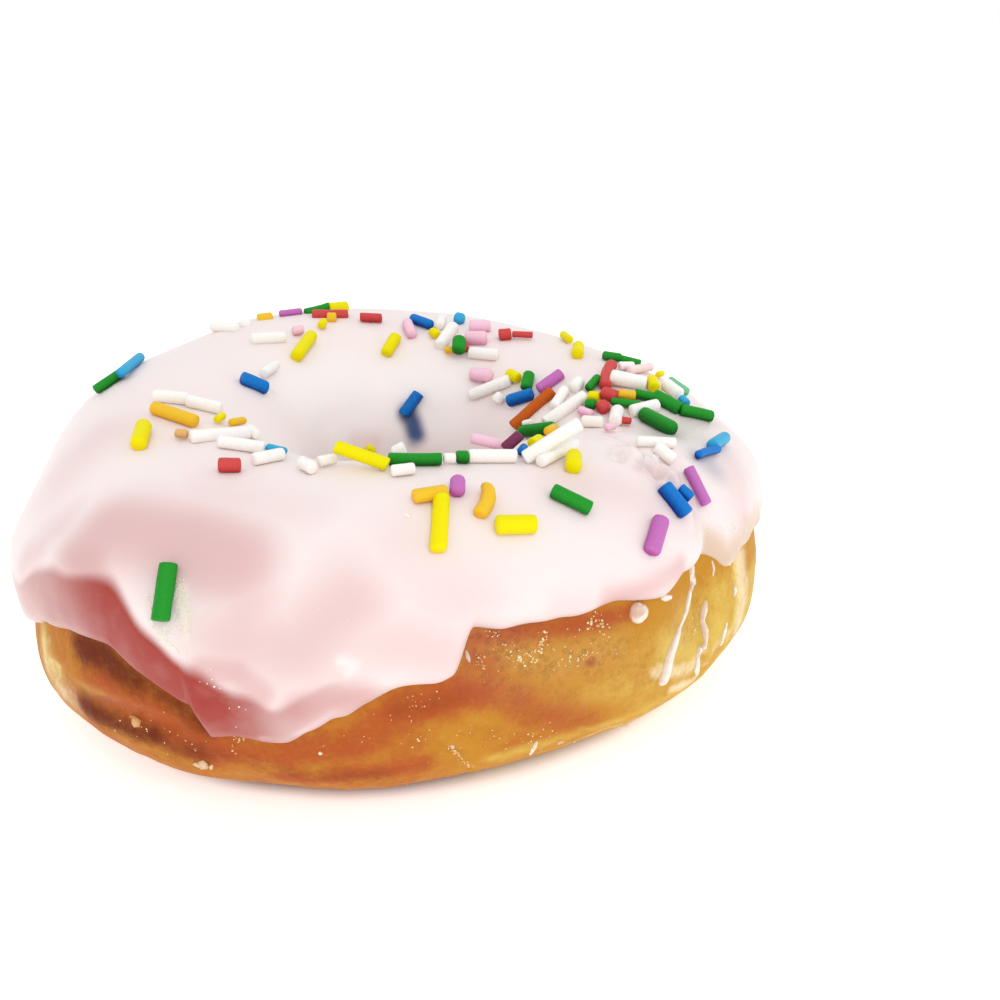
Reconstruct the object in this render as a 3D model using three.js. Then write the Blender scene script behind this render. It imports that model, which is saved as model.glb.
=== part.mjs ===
// Sprinkle frosted doughnut: a raised ring of dough with a poured cap of icing.
// Millimetres, +Z up. The base lies on z = 0, and the origin is the middle of the outline.
// -Y is the side where the icing hangs lowest, and +X the side with the pinched crease.

import * as THREE from "three";
import { ParametricGeometry } from "three/addons/geometries/ParametricGeometry.js";
import { mergeVertices } from "three/addons/utils/BufferGeometryUtils.js";

// ---- Driving dimensions -------------------------------------------------------------

const RING = {
  outerRadius: 43.2, // of the dough at its waist
  holeRadius: 12.6, // of the dough at its waist
  height: 32.1, // of the dough at the top of the ring
  waist: 0.42, // height of the waist, as a share of the whole height
  centre: new THREE.Vector2(-0.7, -0.4), // of the hole: it lies a little off the middle
};

// The outline and the top aren't true circles: each wave is [turns, amplitude, azimuth].
const OUTLINE_WAVES = [
  [1, 1.0, -167],
  [2, 1.25, -13.5],
  [3, 2.4, -7],
];
const HOLE_WAVES = [
  [2, 0.6, 70],
  [3, 0.4, 15],
];
const TOP_WAVES = [
  [1, 1.9, 142],
  [3, 0.3, 60],
];

// The trough across the top of the ring, behind the pinch.
const TROUGH = { azimuth: -10, halfWidth: 13, depth: 1.8 };

// How square the section is: 1 is round, less is squarer.
const SECTION = { across: 0.82, above: 0.92, below: 0.82 };
// The section would reach this much below the base, and is flat there instead.
const BASE_CUT = 0.06;

// The crease on the +X side, where the ring was pinched.
const PINCH = { azimuth: -36, halfWidth: 5.5, depth: 1.6, from: 6, fade: 10 };

// Swellings (negative depth) and dents in the outer wall.
const DENTS = [
  { azimuth: -150, z: 7, halfWidth: 16, halfHeight: 8.5, depth: -2.3 },
  { azimuth: -106, z: 5, halfWidth: 9, halfHeight: 8, depth: 0.6 },
  { azimuth: -42, z: 7, halfWidth: 14, halfHeight: 8, depth: -0.8 },
  { azimuth: -88, z: 5, halfWidth: 14, halfHeight: 7, depth: -0.2 },
  { azimuth: -6, z: 24.5, halfWidth: 15, halfHeight: 4.5, depth: -3.0 },
];

const ICING = {
  gap: 0.4, // from the dough to the underside's corners: its flats come nearer
  thickness: 2.2, // with the gap
  lip: 2.5, // run over which the lower edge rounds off
  holeLip: 6, // the same, where the icing thins out down the hole
  edgeLevel: 20.6, // mean height of the lower edge
  edgeTilt: 1.2,
  edgeHighAzimuth: -60,
  holeEdge: 187, // where the icing ends in the hole, in degrees round the section
  holeEdgeWave: 5,
};

// Tongues of icing that hang below that level: azimuths where each starts and ends, how
// many degrees each side takes to come down, and by how much.
const TONGUES = [
  { from: -155, to: -89, rises: [14, 8], drop: 2.0 },
  { from: -118, to: -76.5, rises: [14, 3], drop: 4.2 },
  { from: -110.6, to: -97, rises: [2, 7], drop: 3.4 },
  { from: -185, to: -142, rises: [20, 12], drop: 4.5 },
  { from: -48, to: -34, rises: [10, 5], drop: 1.2 },
  { from: -30, to: 4, rises: [8, 14], drop: 2.4 },
  { from: 32, to: 62, rises: [14, 12], drop: 4.5 },
  { from: 84, to: 97, rises: [8, 9], drop: 3.5 },
  { from: 120, to: 158, rises: [12, 16], drop: 4.0 },
];

// The thick brow of icing, with a crease along it, on the front left.
const BROW = { from: -148, to: -102, rises: [10, 8], crease: 6.5, fade: 7, depth: 1.3 };
// The thin, see-through icing beyond the pinch.
const THIN = { from: -33, to: 8, rises: [4, 24], depth: 1.3, reach: 11 };

const DOUGH_STEPS = { around: 96, section: 24 };
const ICING_STEPS = { around: 96, section: 28 };
const OUTER_SHARE = 0.5; // of the icing's section steps that lie on its outer face

// ---- Helpers ------------------------------------------------------------------------

const { degToRad, clamp, smoothstep } = THREE.MathUtils;

// x to the power n, keeping the sign of x.
function signedPower(x, n) {
  return Math.sign(x) * Math.abs(x) ** n;
}

// An angle in degrees, brought between -180 and 180.
function wrapDegrees(angle) {
  return THREE.MathUtils.euclideanModulo(angle + 180, 360) - 180;
}

// The sum of the waves at an azimuth in degrees.
function waves(list, azimuth) {
  return list.reduce(
    (sum, [turns, amplitude, phase]) =>
      sum + amplitude * Math.cos(turns * degToRad(azimuth - phase)),
    0,
  );
}

// A bell that is 1 at its own azimuth.
function bell({ azimuth: middle, halfWidth }, azimuth) {
  return Math.exp(-((wrapDegrees(azimuth - middle) / halfWidth) ** 2));
}

// 1 between two azimuths and 0 outside, with a smooth rise on each side.
function span({ from, to, rises }, azimuth) {
  const offset = wrapDegrees(azimuth - (from + to) / 2);
  const half = (to - from) / 2;
  const start = smoothstep(offset + half, -rises[0] / 2, rises[0] / 2);
  const end = smoothstep(half - offset, -rises[1] / 2, rises[1] / 2);
  return start * end;
}

// ---- The ring of dough --------------------------------------------------------------

// Middle, half width and heights of the section at an azimuth.
function sectionSizes(azimuth) {
  const outer = RING.outerRadius + waves(OUTLINE_WAVES, azimuth);
  const inner = RING.holeRadius + waves(HOLE_WAVES, azimuth);
  const top = RING.height + waves(TOP_WAVES, azimuth) - TROUGH.depth * bell(TROUGH, azimuth);
  return {
    middle: (outer + inner) / 2,
    half: (outer - inner) / 2,
    top,
    waist: top * RING.waist,
  };
}

// Radius and height on the dough at an azimuth, turn degrees round the section: 0 is the
// outer wall, 90 the top, 180 the hole and 270 the base.
function doughSection(azimuth, turn) {
  const { middle, half, top, waist } = sectionSizes(azimuth);
  const c = Math.cos(degToRad(turn));
  const s = Math.sin(degToRad(turn));
  const z =
    s >= 0
      ? waist + (top - waist) * signedPower(s, SECTION.above)
      : waist + waist * (1 + BASE_CUT) * signedPower(s, SECTION.below);
  const outside = clamp(c, 0, 1);
  const pinchHeight = smoothstep(z, PINCH.from, PINCH.from + PINCH.fade);
  let radius = middle + half * signedPower(c, SECTION.across);
  radius -= PINCH.depth * bell(PINCH, azimuth) * pinchHeight * outside;
  for (const dent of DENTS) {
    const heightBell = Math.exp(-(((z - dent.z) / dent.halfHeight) ** 2));
    radius -= dent.depth * bell(dent, azimuth) * heightBell * Math.sqrt(outside);
  }
  return { radius, z: Math.max(z, 0) };
}

function setPoint(target, azimuth, radius, z) {
  const angle = degToRad(azimuth);
  const x = RING.centre.x + radius * Math.cos(angle);
  const y = RING.centre.y + radius * Math.sin(angle);
  target.set(x, y, z);
}

function doughPoint(u, v, target) {
  const azimuth = 360 * u;
  const { radius, z } = doughSection(azimuth, 360 * v);
  setPoint(target, azimuth, radius, z);
}

// ---- The cap of icing ---------------------------------------------------------------

// Height of the icing's lower edge.
function edgeHeight(azimuth) {
  const tilt = ICING.edgeTilt * Math.cos(degToRad(azimuth - ICING.edgeHighAzimuth));
  const drop = TONGUES.reduce((sum, tongue) => sum + tongue.drop * span(tongue, azimuth), 0);
  return ICING.edgeLevel + tilt - drop;
}

// Turn round the section, in degrees, where the outer wall of the dough has height z.
function turnAtHeight(azimuth, z) {
  const { top, waist } = sectionSizes(azimuth);
  const above = ((z - waist) / (top - waist)) ** (1 / SECTION.above);
  const below = ((waist - z) / (waist * (1 + BASE_CUT))) ** (1 / SECTION.below);
  return THREE.MathUtils.radToDeg(z >= waist ? Math.asin(above) : -Math.asin(below));
}

// Thickness of the icing, run millimetres up from its lower edge.
function icingThickness(azimuth, run) {
  const towardsCrease = Math.min(run / BROW.crease, 1 - (run - BROW.crease) / BROW.fade);
  const brow = BROW.depth * span(BROW, azimuth) * clamp(towardsCrease, 0, 1);
  const thin = THIN.depth * span(THIN, azimuth) * (1 - smoothstep(run, 0, THIN.reach));
  return ICING.thickness + brow - thin;
}

// 0 at an edge and 1 from reach inwards, round like a drop's side.
function roundedEdge(distance, reach) {
  const inward = clamp(distance / reach, 0, 1);
  return Math.sqrt(1 - (1 - inward) ** 2);
}

// The section runs up the outer face, from the lower edge to the hole, and back under it.
function icingPoint(u, v, target) {
  const azimuth = 360 * u;
  const onOuterFace = v < OUTER_SHARE;
  const along = onOuterFace ? v / OUTER_SHARE : (1 - v) / (1 - OUTER_SHARE);
  const share = onOuterFace ? (1 - Math.cos(Math.PI * along)) / 2 : along;
  const start = turnAtHeight(azimuth, edgeHeight(azimuth));
  const end = ICING.holeEdge + ICING.holeEdgeWave * Math.cos(degToRad(2 * azimuth));
  const turn = start + (end - start) * share;
  const { half } = sectionSizes(azimuth);
  const run = degToRad(turn - start) * half;
  const runToHole = degToRad(end - turn) * half;
  const shape = roundedEdge(run, ICING.lip) * roundedEdge(runToHole, ICING.holeLip);
  const body = (icingThickness(azimuth, run) - ICING.gap) * shape;
  const offset = ICING.gap + (onOuterFace ? body : 0);
  const { radius, z } = doughSection(azimuth, turn);
  const outward = offset * Math.cos(degToRad(turn));
  const upward = offset * Math.sin(degToRad(turn));
  setPoint(target, azimuth, radius + outward, z + upward);
}

// ---- Meshes -------------------------------------------------------------------------

// A closed surface from a function of two shares, with its seams joined.
function closedSurface(point, steps) {
  const sheet = new ParametricGeometry(point, steps.around, steps.section);
  sheet.deleteAttribute("normal");
  sheet.deleteAttribute("uv");
  const closed = mergeVertices(sheet);
  closed.computeVertexNormals();
  return closed;
}

function makePart(name, geometry, surface) {
  const mesh = new THREE.Mesh(geometry, new THREE.MeshStandardMaterial(surface));
  mesh.name = name;
  return mesh;
}

const doughnut = new THREE.Group();
doughnut.add(
  makePart("dough", closedSurface(doughPoint, DOUGH_STEPS), {
    color: 0xc98a3c,
    roughness: 0.6,
    metalness: 0,
  }),
  makePart("icing", closedSurface(icingPoint, ICING_STEPS), {
    color: 0xf4dcdd,
    roughness: 0.35,
    metalness: 0,
  }),
);

export default doughnut;
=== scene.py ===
"""A sprinkle frosted doughnut, laid out as an add-on and run as a script.

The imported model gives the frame. Its two solids, dough and icing, are stood for here by
finely modelled pieces of the same form, and the sprinkles, the dried glaze and the sugar
lie on them. Shapes are worked out in millimetres and turned to metres in the mesh.
"""

import math

import bpy
import numpy as np
from bpy.props import FloatProperty, FloatVectorProperty, PointerProperty
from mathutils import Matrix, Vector
from mathutils.bvhtree import BVHTree


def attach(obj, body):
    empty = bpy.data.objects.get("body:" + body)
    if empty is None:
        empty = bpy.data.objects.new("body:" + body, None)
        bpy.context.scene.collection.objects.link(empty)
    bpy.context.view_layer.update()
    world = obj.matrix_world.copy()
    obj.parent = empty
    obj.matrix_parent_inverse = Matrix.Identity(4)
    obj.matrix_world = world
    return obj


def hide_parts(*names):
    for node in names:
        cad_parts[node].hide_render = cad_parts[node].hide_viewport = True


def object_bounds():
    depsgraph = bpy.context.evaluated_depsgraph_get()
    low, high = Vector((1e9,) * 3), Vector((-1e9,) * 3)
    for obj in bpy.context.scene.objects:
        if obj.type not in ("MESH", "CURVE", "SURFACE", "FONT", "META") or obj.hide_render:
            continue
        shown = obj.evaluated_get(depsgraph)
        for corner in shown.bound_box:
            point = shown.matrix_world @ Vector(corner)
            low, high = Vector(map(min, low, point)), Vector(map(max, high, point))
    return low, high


bl_info = {
    "name": "Sprinkle frosted doughnut",
    "version": (1, 0, 0),
    "blender": (4, 5, 0),
    "location": "3D View > Sidebar > Doughnut",
    "description": "Builds a raised ring doughnut with poured icing and rod sprinkles",
    "category": "Add Mesh",
}

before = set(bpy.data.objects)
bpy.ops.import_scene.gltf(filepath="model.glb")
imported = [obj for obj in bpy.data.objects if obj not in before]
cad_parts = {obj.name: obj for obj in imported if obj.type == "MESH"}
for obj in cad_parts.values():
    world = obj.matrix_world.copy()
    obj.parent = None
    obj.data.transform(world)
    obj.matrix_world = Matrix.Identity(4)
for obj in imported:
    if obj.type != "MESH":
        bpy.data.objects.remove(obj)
CAD_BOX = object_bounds()

MM = 0.001
BODY = "root"


# ---- Camera ---------------------------------------------------------------------------

CAMERA_PLACE = np.array((12.1, -120.8, 74.0))  # mm
CAMERA_PITCH = 25.0  # degrees down from level; the camera looks along +Y
FOCAL_LENGTH = 1000.0  # pixels, in a frame of 1000 by 1000
PICTURE_MIDDLE = 500.0
LENS_MM = 36.0
SENSOR_MM = 36.0
CLIP_START = 5.0  # mm


def camera_axes():
    """Forward and up: +Y and +Z turned down by the pitch. Right is +X."""
    pitch = math.radians(CAMERA_PITCH)
    forward = np.array((0.0, math.cos(pitch), -math.sin(pitch)))
    up = np.array((0.0, math.sin(pitch), math.cos(pitch)))
    return forward, up


def pixel_rays(pixels):
    """Directions through pixels: forward + right (x - middle) / focal + up (middle - y) / focal."""
    forward, up = camera_axes()
    offset = np.asarray(pixels, float) - PICTURE_MIDDLE
    right = np.array((1.0, 0.0, 0.0))
    across = offset[..., :1] * right / FOCAL_LENGTH
    upwards = -offset[..., 1:] * up / FOCAL_LENGTH
    return forward + across + upwards


# ---- Numbers and noise ----------------------------------------------------------------

# Large odd numbers that mix a corner's x, y and z and a seed into one number.
CORNER_FACTORS = (374761393, 668265263, 1103515245, 97411)
MIXING_FACTOR = 1274126177
LOW_32_BITS = 0xFFFFFFFF
LOW_16_BITS = 0xFFFF
NOISE_ORIGIN = 1000.0  # cells that keep the number of every corner above 0


def signed_power(x, n):
    """|x| to the power n, with the sign of x."""
    return np.sign(x) * np.abs(x) ** n


def smooth(x, low, high):
    """0 below low, 1 above high, and 3 t^2 - 2 t^3 between them."""
    t = np.clip((x - low) / (high - low), 0, 1)
    return t * t * (3 - 2 * t)


def wrap(degrees):
    """An angle brought between -180 and 180."""
    return (degrees + 180) % 360 - 180


def cosine(degrees):
    return np.cos(np.radians(degrees))


def sine(degrees):
    return np.sin(np.radians(degrees))


def bell(azimuth, middle, half_width):
    """exp(-d^2), with d the azimuth's distance from the middle in half widths."""
    return np.exp(-((wrap(azimuth - middle) / half_width) ** 2))


def span(azimuth, start, end, rise, fall):
    """1 from start to end and 0 outside, with smooth steps rise and fall degrees wide."""
    offset = wrap(azimuth - (start + end) / 2)
    half = (end - start) / 2
    return smooth(offset + half, -rise / 2, rise / 2) * smooth(half - offset, -fall / 2, fall / 2)


def waves(table, azimuth):
    """Sum of amplitude * cos(turns * (azimuth - phase)) over rows (turns, amplitude, phase)."""
    return sum(size * cosine(turns * (azimuth - phase)) for turns, size, phase in table)


def corner_value(x, y, z, seed):
    """A repeatable value from -1 to 1 for each whole-number corner, by mixing its bits."""
    parts = zip((x, y, z, seed), CORNER_FACTORS)
    mixed = sum(value * factor for value, factor in parts) & LOW_32_BITS
    mixed = ((mixed ^ (mixed >> 13)) * MIXING_FACTOR) & LOW_32_BITS
    return ((mixed ^ (mixed >> 16)) & LOW_16_BITS) / (LOW_16_BITS / 2) - 1


def noise(points, size, seed=0):
    """Smooth noise with features of that size: corner values blended by 6t^5 - 15t^4 + 10t^3."""
    place = points / size + NOISE_ORIGIN
    cell = np.floor(place).astype(np.int64)
    t = place - cell
    fade = t * t * t * (t * (6 * t - 15) + 10)
    total = 0.0
    for corner in range(8):
        step = np.array((corner & 1, corner >> 1 & 1, corner >> 2 & 1))
        weight = np.prod(np.where(step == 1, fade, 1 - fade), -1)
        x, y, z = np.moveaxis(cell + step, -1, 0)
        total = total + weight * corner_value(x, y, z, seed)
    return total


def line_distance(points, line):
    """Distance of each point from a line through the given corners, over its stretches."""
    nearest = np.full(points.shape[:-1], np.inf)
    for start, end in zip(line[:-1], line[1:]):
        along = end - start
        share = np.clip((points - start) @ along / (along @ along), 0, 1)
        gap = np.linalg.norm(points - start - share[..., None] * along, axis=-1)
        nearest = np.minimum(nearest, gap)
    return nearest


# ---- The form of the ring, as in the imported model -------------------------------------

OUTER_RADIUS = 43.2
HOLE_RADIUS = 12.6
RING_HEIGHT = 32.1
WAIST = 0.42  # height of the waist, as a share of the whole height
RING_CENTRE = np.array((-0.7, -0.4, 0.0))

# Unevenness round the ring: turns, amplitude in mm and azimuth of the first crest.
OUTLINE_WAVES = ((1, 1.0, -167), (2, 1.25, -13.5), (3, 2.4, -7))
HOLE_WAVES = ((2, 0.6, 70), (3, 0.4, 15))
TOP_WAVES = ((1, 1.9, 142), (3, 0.3, 60))
# The trough across the top of the ring, behind the pinch.
TROUGH = dict(middle=-10, half_width=13, depth=1.8)

# How square the section is: 1 is round, less is squarer.
ACROSS_POWER = 0.82
ABOVE_POWER = 0.92
BELOW_POWER = 0.82
BASE_CUT = 0.06  # share of the waist's height by which the flat base cuts the section

# The crease where the ring was pinched. It comes in between two heights.
PINCH = dict(middle=-36, half_width=5.5, depth=1.6, low=6, high=16)
# Azimuth, height, half width, half height and depth of each dent in the wall. A negative
# depth is a swelling.
DENTS = (
    (-150, 7, 16, 8.5, -2.3),
    (-106, 5, 9, 8, 0.6),
    (-42, 7, 14, 8, -0.8),
    (-88, 5, 14, 7, -0.2),
    (-6, 24.5, 15, 4.5, -3.0),
)

# Tongues of icing: start and end azimuth, width of each side's step, and drop.
TONGUES = (
    (-155, -89, 14, 8, 2.0),
    (-118, -76.5, 14, 3.6, 4.2),
    (-130, -113, 6, 6, -0.3),
    (-97, -92, 4, 4, 0.9),
    (-92, -79, 6, 4, 0.6),
    (-110.6, -97, 1.4, 7, 3.4),
    (-185, -143.5, 20, 12, 4.5),
    (-180, -148, 20, 12, -2.7),
    (-146, -134, 7, 6, 1.0),
    (-73, -43, 6, 8, 0.85),
    (-48, -34, 10, 5, 1.2),
    (-30, 4, 8, 14, 2.4),
    (32, 62, 14, 12, 4.5),
    (84, 97, 8, 9, 3.5),
    (120, 158, 12, 16, 4.0),
)
EDGE_LEVEL = 20.6  # mean height of the lower edge
EDGE_TILT = 1.2
EDGE_HIGH_AZIMUTH = -60
HOLE_EDGE = 198  # turn at which the icing ends in the hole
HOLE_EDGE_WAVE = 5


def ring_sizes(azimuth):
    """Middle radius, half width, top height and waist height of the section."""
    outer = OUTER_RADIUS + waves(OUTLINE_WAVES, azimuth)
    inner = HOLE_RADIUS + waves(HOLE_WAVES, azimuth)
    sag = TROUGH["depth"] * bell(azimuth, TROUGH["middle"], TROUGH["half_width"])
    top = RING_HEIGHT + waves(TOP_WAVES, azimuth) - sag
    return (outer + inner) / 2, (outer - inner) / 2, top, top * WAIST


def dough_section(azimuth, turn):
    """Radius and height: middle + half cos^a, and waist + rise sin^b, flat at the base.

    The turn goes round the section: 0 is the outer wall, 90 the top and 180 the hole.
    """
    middle, half, top, waist = ring_sizes(azimuth)
    c, s = cosine(turn), sine(turn)
    above = waist + (top - waist) * signed_power(s, ABOVE_POWER)
    below = waist + waist * (1 + BASE_CUT) * signed_power(s, BELOW_POWER)
    z = np.where(s >= 0, above, below)
    outside = np.clip(c, 0, 1)
    radius = middle + half * signed_power(c, ACROSS_POWER)
    pinch = PINCH["depth"] * bell(azimuth, PINCH["middle"], PINCH["half_width"])
    radius = radius - pinch * smooth(z, PINCH["low"], PINCH["high"]) * outside
    for dent_azimuth, height, half_width, half_height, depth in DENTS:
        level = np.exp(-(((z - height) / half_height) ** 2))
        radius = radius - depth * bell(azimuth, dent_azimuth, half_width) * level * np.sqrt(outside)
    return radius, np.maximum(z, 0)


def ring_point(azimuth, radius, z):
    """Points in mm from azimuth, distance from the hole's middle, and height."""
    x = radius * cosine(azimuth)
    y = radius * sine(azimuth)
    return np.stack(np.broadcast_arrays(x, y, z), -1) + RING_CENTRE


def section_outward(azimuth, turn):
    """Direction in which the icing lies on the dough: cos of the turn out, sin up."""
    out = cosine(turn)
    parts = (out * cosine(azimuth), out * sine(azimuth), sine(turn))
    return np.stack(np.broadcast_arrays(*parts), -1)


def edge_height(azimuth):
    """Height of the icing's lower edge: a tilted level less the drop of each tongue."""
    level = EDGE_LEVEL + EDGE_TILT * cosine(azimuth - EDGE_HIGH_AZIMUTH)
    return level - sum(row[4] * span(azimuth, *row[:4]) for row in TONGUES)


def turn_at_height(azimuth, z):
    """The turn at which the outer wall has height z: the section's formula solved for it."""
    _, _, top, waist = ring_sizes(azimuth)
    above = np.clip((z - waist) / (top - waist), 0, 1) ** (1 / ABOVE_POWER)
    below = np.clip((waist - z) / (waist * (1 + BASE_CUT)), 0, 1) ** (1 / BELOW_POWER)
    return np.degrees(np.where(z >= waist, np.arcsin(above), -np.arcsin(below)))


def hole_edge_turn(azimuth):
    """The turn at which the icing ends in the hole."""
    return HOLE_EDGE + HOLE_EDGE_WAVE * cosine(2 * azimuth)


# ---- Surfaces that things are set on --------------------------------------------------


class Carrier:
    """A surface in mm that camera rays and nearest points are found on."""

    def __init__(self, points, faces):
        self.tree = BVHTree.FromPolygons(points.tolist(), faces.tolist())

    def ray(self, pixel):
        """The point that shows at a pixel, and the normal there, or None."""
        direction = Vector(pixel_rays(pixel)).normalized()
        place, normal, _, _ = self.tree.ray_cast(Vector(CAMERA_PLACE), direction)
        return None if place is None else (np.array(place), np.array(normal))

    def pin(self, pixel):
        """The point that shows at a pixel, which the surface has to cover."""
        hit = self.ray(pixel)
        if hit is None:
            raise ValueError(f"no surface shows at pixel {tuple(pixel)}")
        return hit[0]

    def pins(self, pixels):
        return np.array([self.pin(pixel) for pixel in pixels])

    def nearest(self, point):
        place, normal, _, _ = self.tree.find_nearest(Vector(point))
        return np.array(place), np.array(normal)


def mesh_carrier(mesh, corners, lift=0.0):
    """The surface of a mesh in mm, moved outwards by lift. Its faces all have that many corners."""
    points = np.empty(len(mesh.vertices) * 3)
    mesh.vertices.foreach_get("co", points)
    points = points.reshape(-1, 3) / MM
    faces = np.empty(len(mesh.loops), dtype=np.int64)
    mesh.loops.foreach_get("vertex_index", faces)
    if lift:
        normals = np.empty(len(mesh.vertices) * 3)
        mesh.vertex_normals.foreach_get("vector", normals)
        points = points + lift * normals.reshape(-1, 3)
    return Carrier(points, faces.reshape(-1, corners))


def cad_carrier(node):
    """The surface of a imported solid, in mm."""
    return mesh_carrier(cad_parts[node].data, 3)


def piece_carrier(name, lift=0.0):
    """The surface of a finished piece, in mm, moved outwards by lift."""
    return mesh_carrier(bpy.data.objects[name].data, 4, lift)


# ---- Meshes from grids ----------------------------------------------------------------


def grid_faces(rows, columns):
    """Four-cornered faces of a grid that closes on itself in both directions."""
    index = np.arange(rows * columns).reshape(rows, columns)
    right = np.roll(index, -1, 1)
    down = np.roll(index, -1, 0)
    return np.stack((index, down, np.roll(down, -1, 1), right), -1).reshape(-1, 4)


def add_piece(name, points, faces, material, masks=None, smooth_faces=True):
    """A mesh object from points in mm, with one float attribute for each mask."""
    mesh = bpy.data.meshes.new(name)
    mesh.from_pydata((points * MM).tolist(), [], [tuple(face) for face in faces])
    for mask, values in (masks or {}).items():
        layer = mesh.attributes.new(mask, "FLOAT", "POINT")
        layer.data.foreach_set("value", np.ascontiguousarray(values, np.float32).ravel())
    mesh.polygons.foreach_set("use_smooth", [smooth_faces] * len(mesh.polygons))
    mesh.materials.append(material)
    mesh.update()
    piece = bpy.data.objects.new(name, mesh)
    bpy.context.scene.collection.objects.link(piece)
    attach(piece, BODY)
    return piece


# ---- Shader helpers -------------------------------------------------------------------


def srgb(red, green, blue):
    """A colour of 0 to 255 values as linear numbers, by the usual curve of screens."""
    scaled = np.array((red, green, blue)) / 255
    linear = np.where(scaled <= 0.04045, scaled / 12.92, ((scaled + 0.055) / 1.055) ** 2.4)
    return tuple(float(value) for value in linear)


class Number:
    """A shader socket that holds a number; sums on it add Math nodes."""

    def __init__(self, shader, socket):
        self.shader = shader
        self.socket = socket

    def math(self, operation, *values):
        settings = {"operation": operation}
        return self.shader.number("ShaderNodeMath", settings, dict(enumerate(values)))

    def __add__(self, other):
        return self.math("ADD", self, other)

    def __radd__(self, other):
        return self.math("ADD", other, self)

    def __sub__(self, other):
        return self.math("SUBTRACT", self, other)

    def __rsub__(self, other):
        return self.math("SUBTRACT", other, self)

    def __mul__(self, other):
        return self.math("MULTIPLY", self, other)

    def __rmul__(self, other):
        return self.math("MULTIPLY", other, self)

    def at_most(self, other):
        return self.math("MINIMUM", self, other)

    def sine(self):
        return self.math("SINE", self)

    def smooth(self, low, high):
        """0 below low and 1 above high, smooth between them."""
        settings = {"interpolation_type": "SMOOTHSTEP"}
        inputs = {"Value": self, "From Min": low, "From Max": high}
        return self.shader.number("ShaderNodeMapRange", settings, inputs)


class Shader:
    """A material with one Principled shader, and short ways to add nodes to it."""

    def __init__(self, name, **constants):
        self.material = bpy.data.materials.new(name)
        self.material.use_nodes = True
        self.tree = self.material.node_tree
        self.surface = self.tree.nodes["Principled BSDF"]
        for socket, value in constants.items():
            self.set(socket.replace("_", " "), value)

    def put(self, socket, value):
        """Links a socket or sets its constant."""
        if isinstance(value, Number):
            value = value.socket
        if isinstance(value, bpy.types.NodeSocket):
            self.tree.links.new(value, socket)
        elif isinstance(value, tuple) and len(value) == 3 and socket.type == "RGBA":
            socket.default_value = (*value, 1.0)
        else:
            socket.default_value = value

    def set(self, socket, value):
        self.put(self.surface.inputs[socket], value)

    def node(self, kind, settings, inputs):
        """A node with its settings made first, and then its sockets."""
        made = self.tree.nodes.new(kind)
        for name, value in settings.items():
            setattr(made, name, value)
        for name, value in inputs.items():
            self.put(made.inputs[name], value)
        return made

    def number(self, kind, settings, inputs):
        return Number(self, self.node(kind, settings, inputs).outputs[0])

    def mask(self, name):
        """A float attribute of the piece."""
        made = self.node("ShaderNodeAttribute", {"attribute_name": name}, {})
        return Number(self, made.outputs["Fac"])

    def place(self):
        """Object coordinates, in metres."""
        return self.node("ShaderNodeTexCoord", {}, {}).outputs["Object"]

    def noise(self, size, detail=3.0, roughness=0.6):
        """Noise from 0 to 1 with features of that many mm."""
        inputs = {
            "Vector": self.place(),
            "Scale": 1 / (size * MM),
            "Detail": detail,
            "Roughness": roughness,
        }
        return self.number("ShaderNodeTexNoise", {}, inputs)

    def cells(self, size):
        """Distance from the middle of the nearest cell, of cells that many mm wide."""
        inputs = {"Vector": self.place(), "Scale": 1 / (size * MM)}
        return self.number("ShaderNodeTexVoronoi", {"feature": "F1"}, inputs)

    def mix(self, factor, first, second):
        """The first colour where the factor is 0 and the second where it is 1.

        The sockets go by number, because those of numbers and vectors have the same names.
        """
        inputs = {0: factor, 6: first, 7: second}
        return self.node("ShaderNodeMix", {"data_type": "RGBA"}, inputs).outputs[2]

    def bump(self, height, depth, normal=None):
        """A normal tilted by a height from 0 to 1 that is worth depth mm."""
        inputs = {"Height": height, "Distance": depth * MM, "Strength": 1.0}
        if normal is not None:
            inputs["Normal"] = normal
        return self.node("ShaderNodeBump", {}, inputs).outputs["Normal"]


# ---- Materials ------------------------------------------------------------------------

# Colours that aren't settings. Where there are two, noise or a tone mixes them.
# Whitish film of glaze, also used for painted rim light.
FILM_AND_RIM_LIGHT_COLOUR = srgb(250, 238, 206)
WET_COLOUR = srgb(206, 198, 190)
SUGARED_COLOUR = srgb(255, 240, 220)
# Colour of the painted highlights on the icing.
PAINTED_HIGHLIGHT_COLOUR = srgb(255, 248, 246)
DYE_COLOURS = (srgb(66, 90, 134), srgb(122, 106, 114))
GLAZE_COLOURS = (srgb(247, 226, 208), srgb(240, 205, 180))
GOLDEN_GRAIN_COLOURS = (srgb(232, 170, 84), srgb(255, 240, 200))
WHITE_GRAIN_COLOURS = (srgb(252, 232, 206), srgb(255, 250, 240))
CRUMB_COLOURS = (srgb(214, 160, 90), srgb(246, 220, 190))


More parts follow.
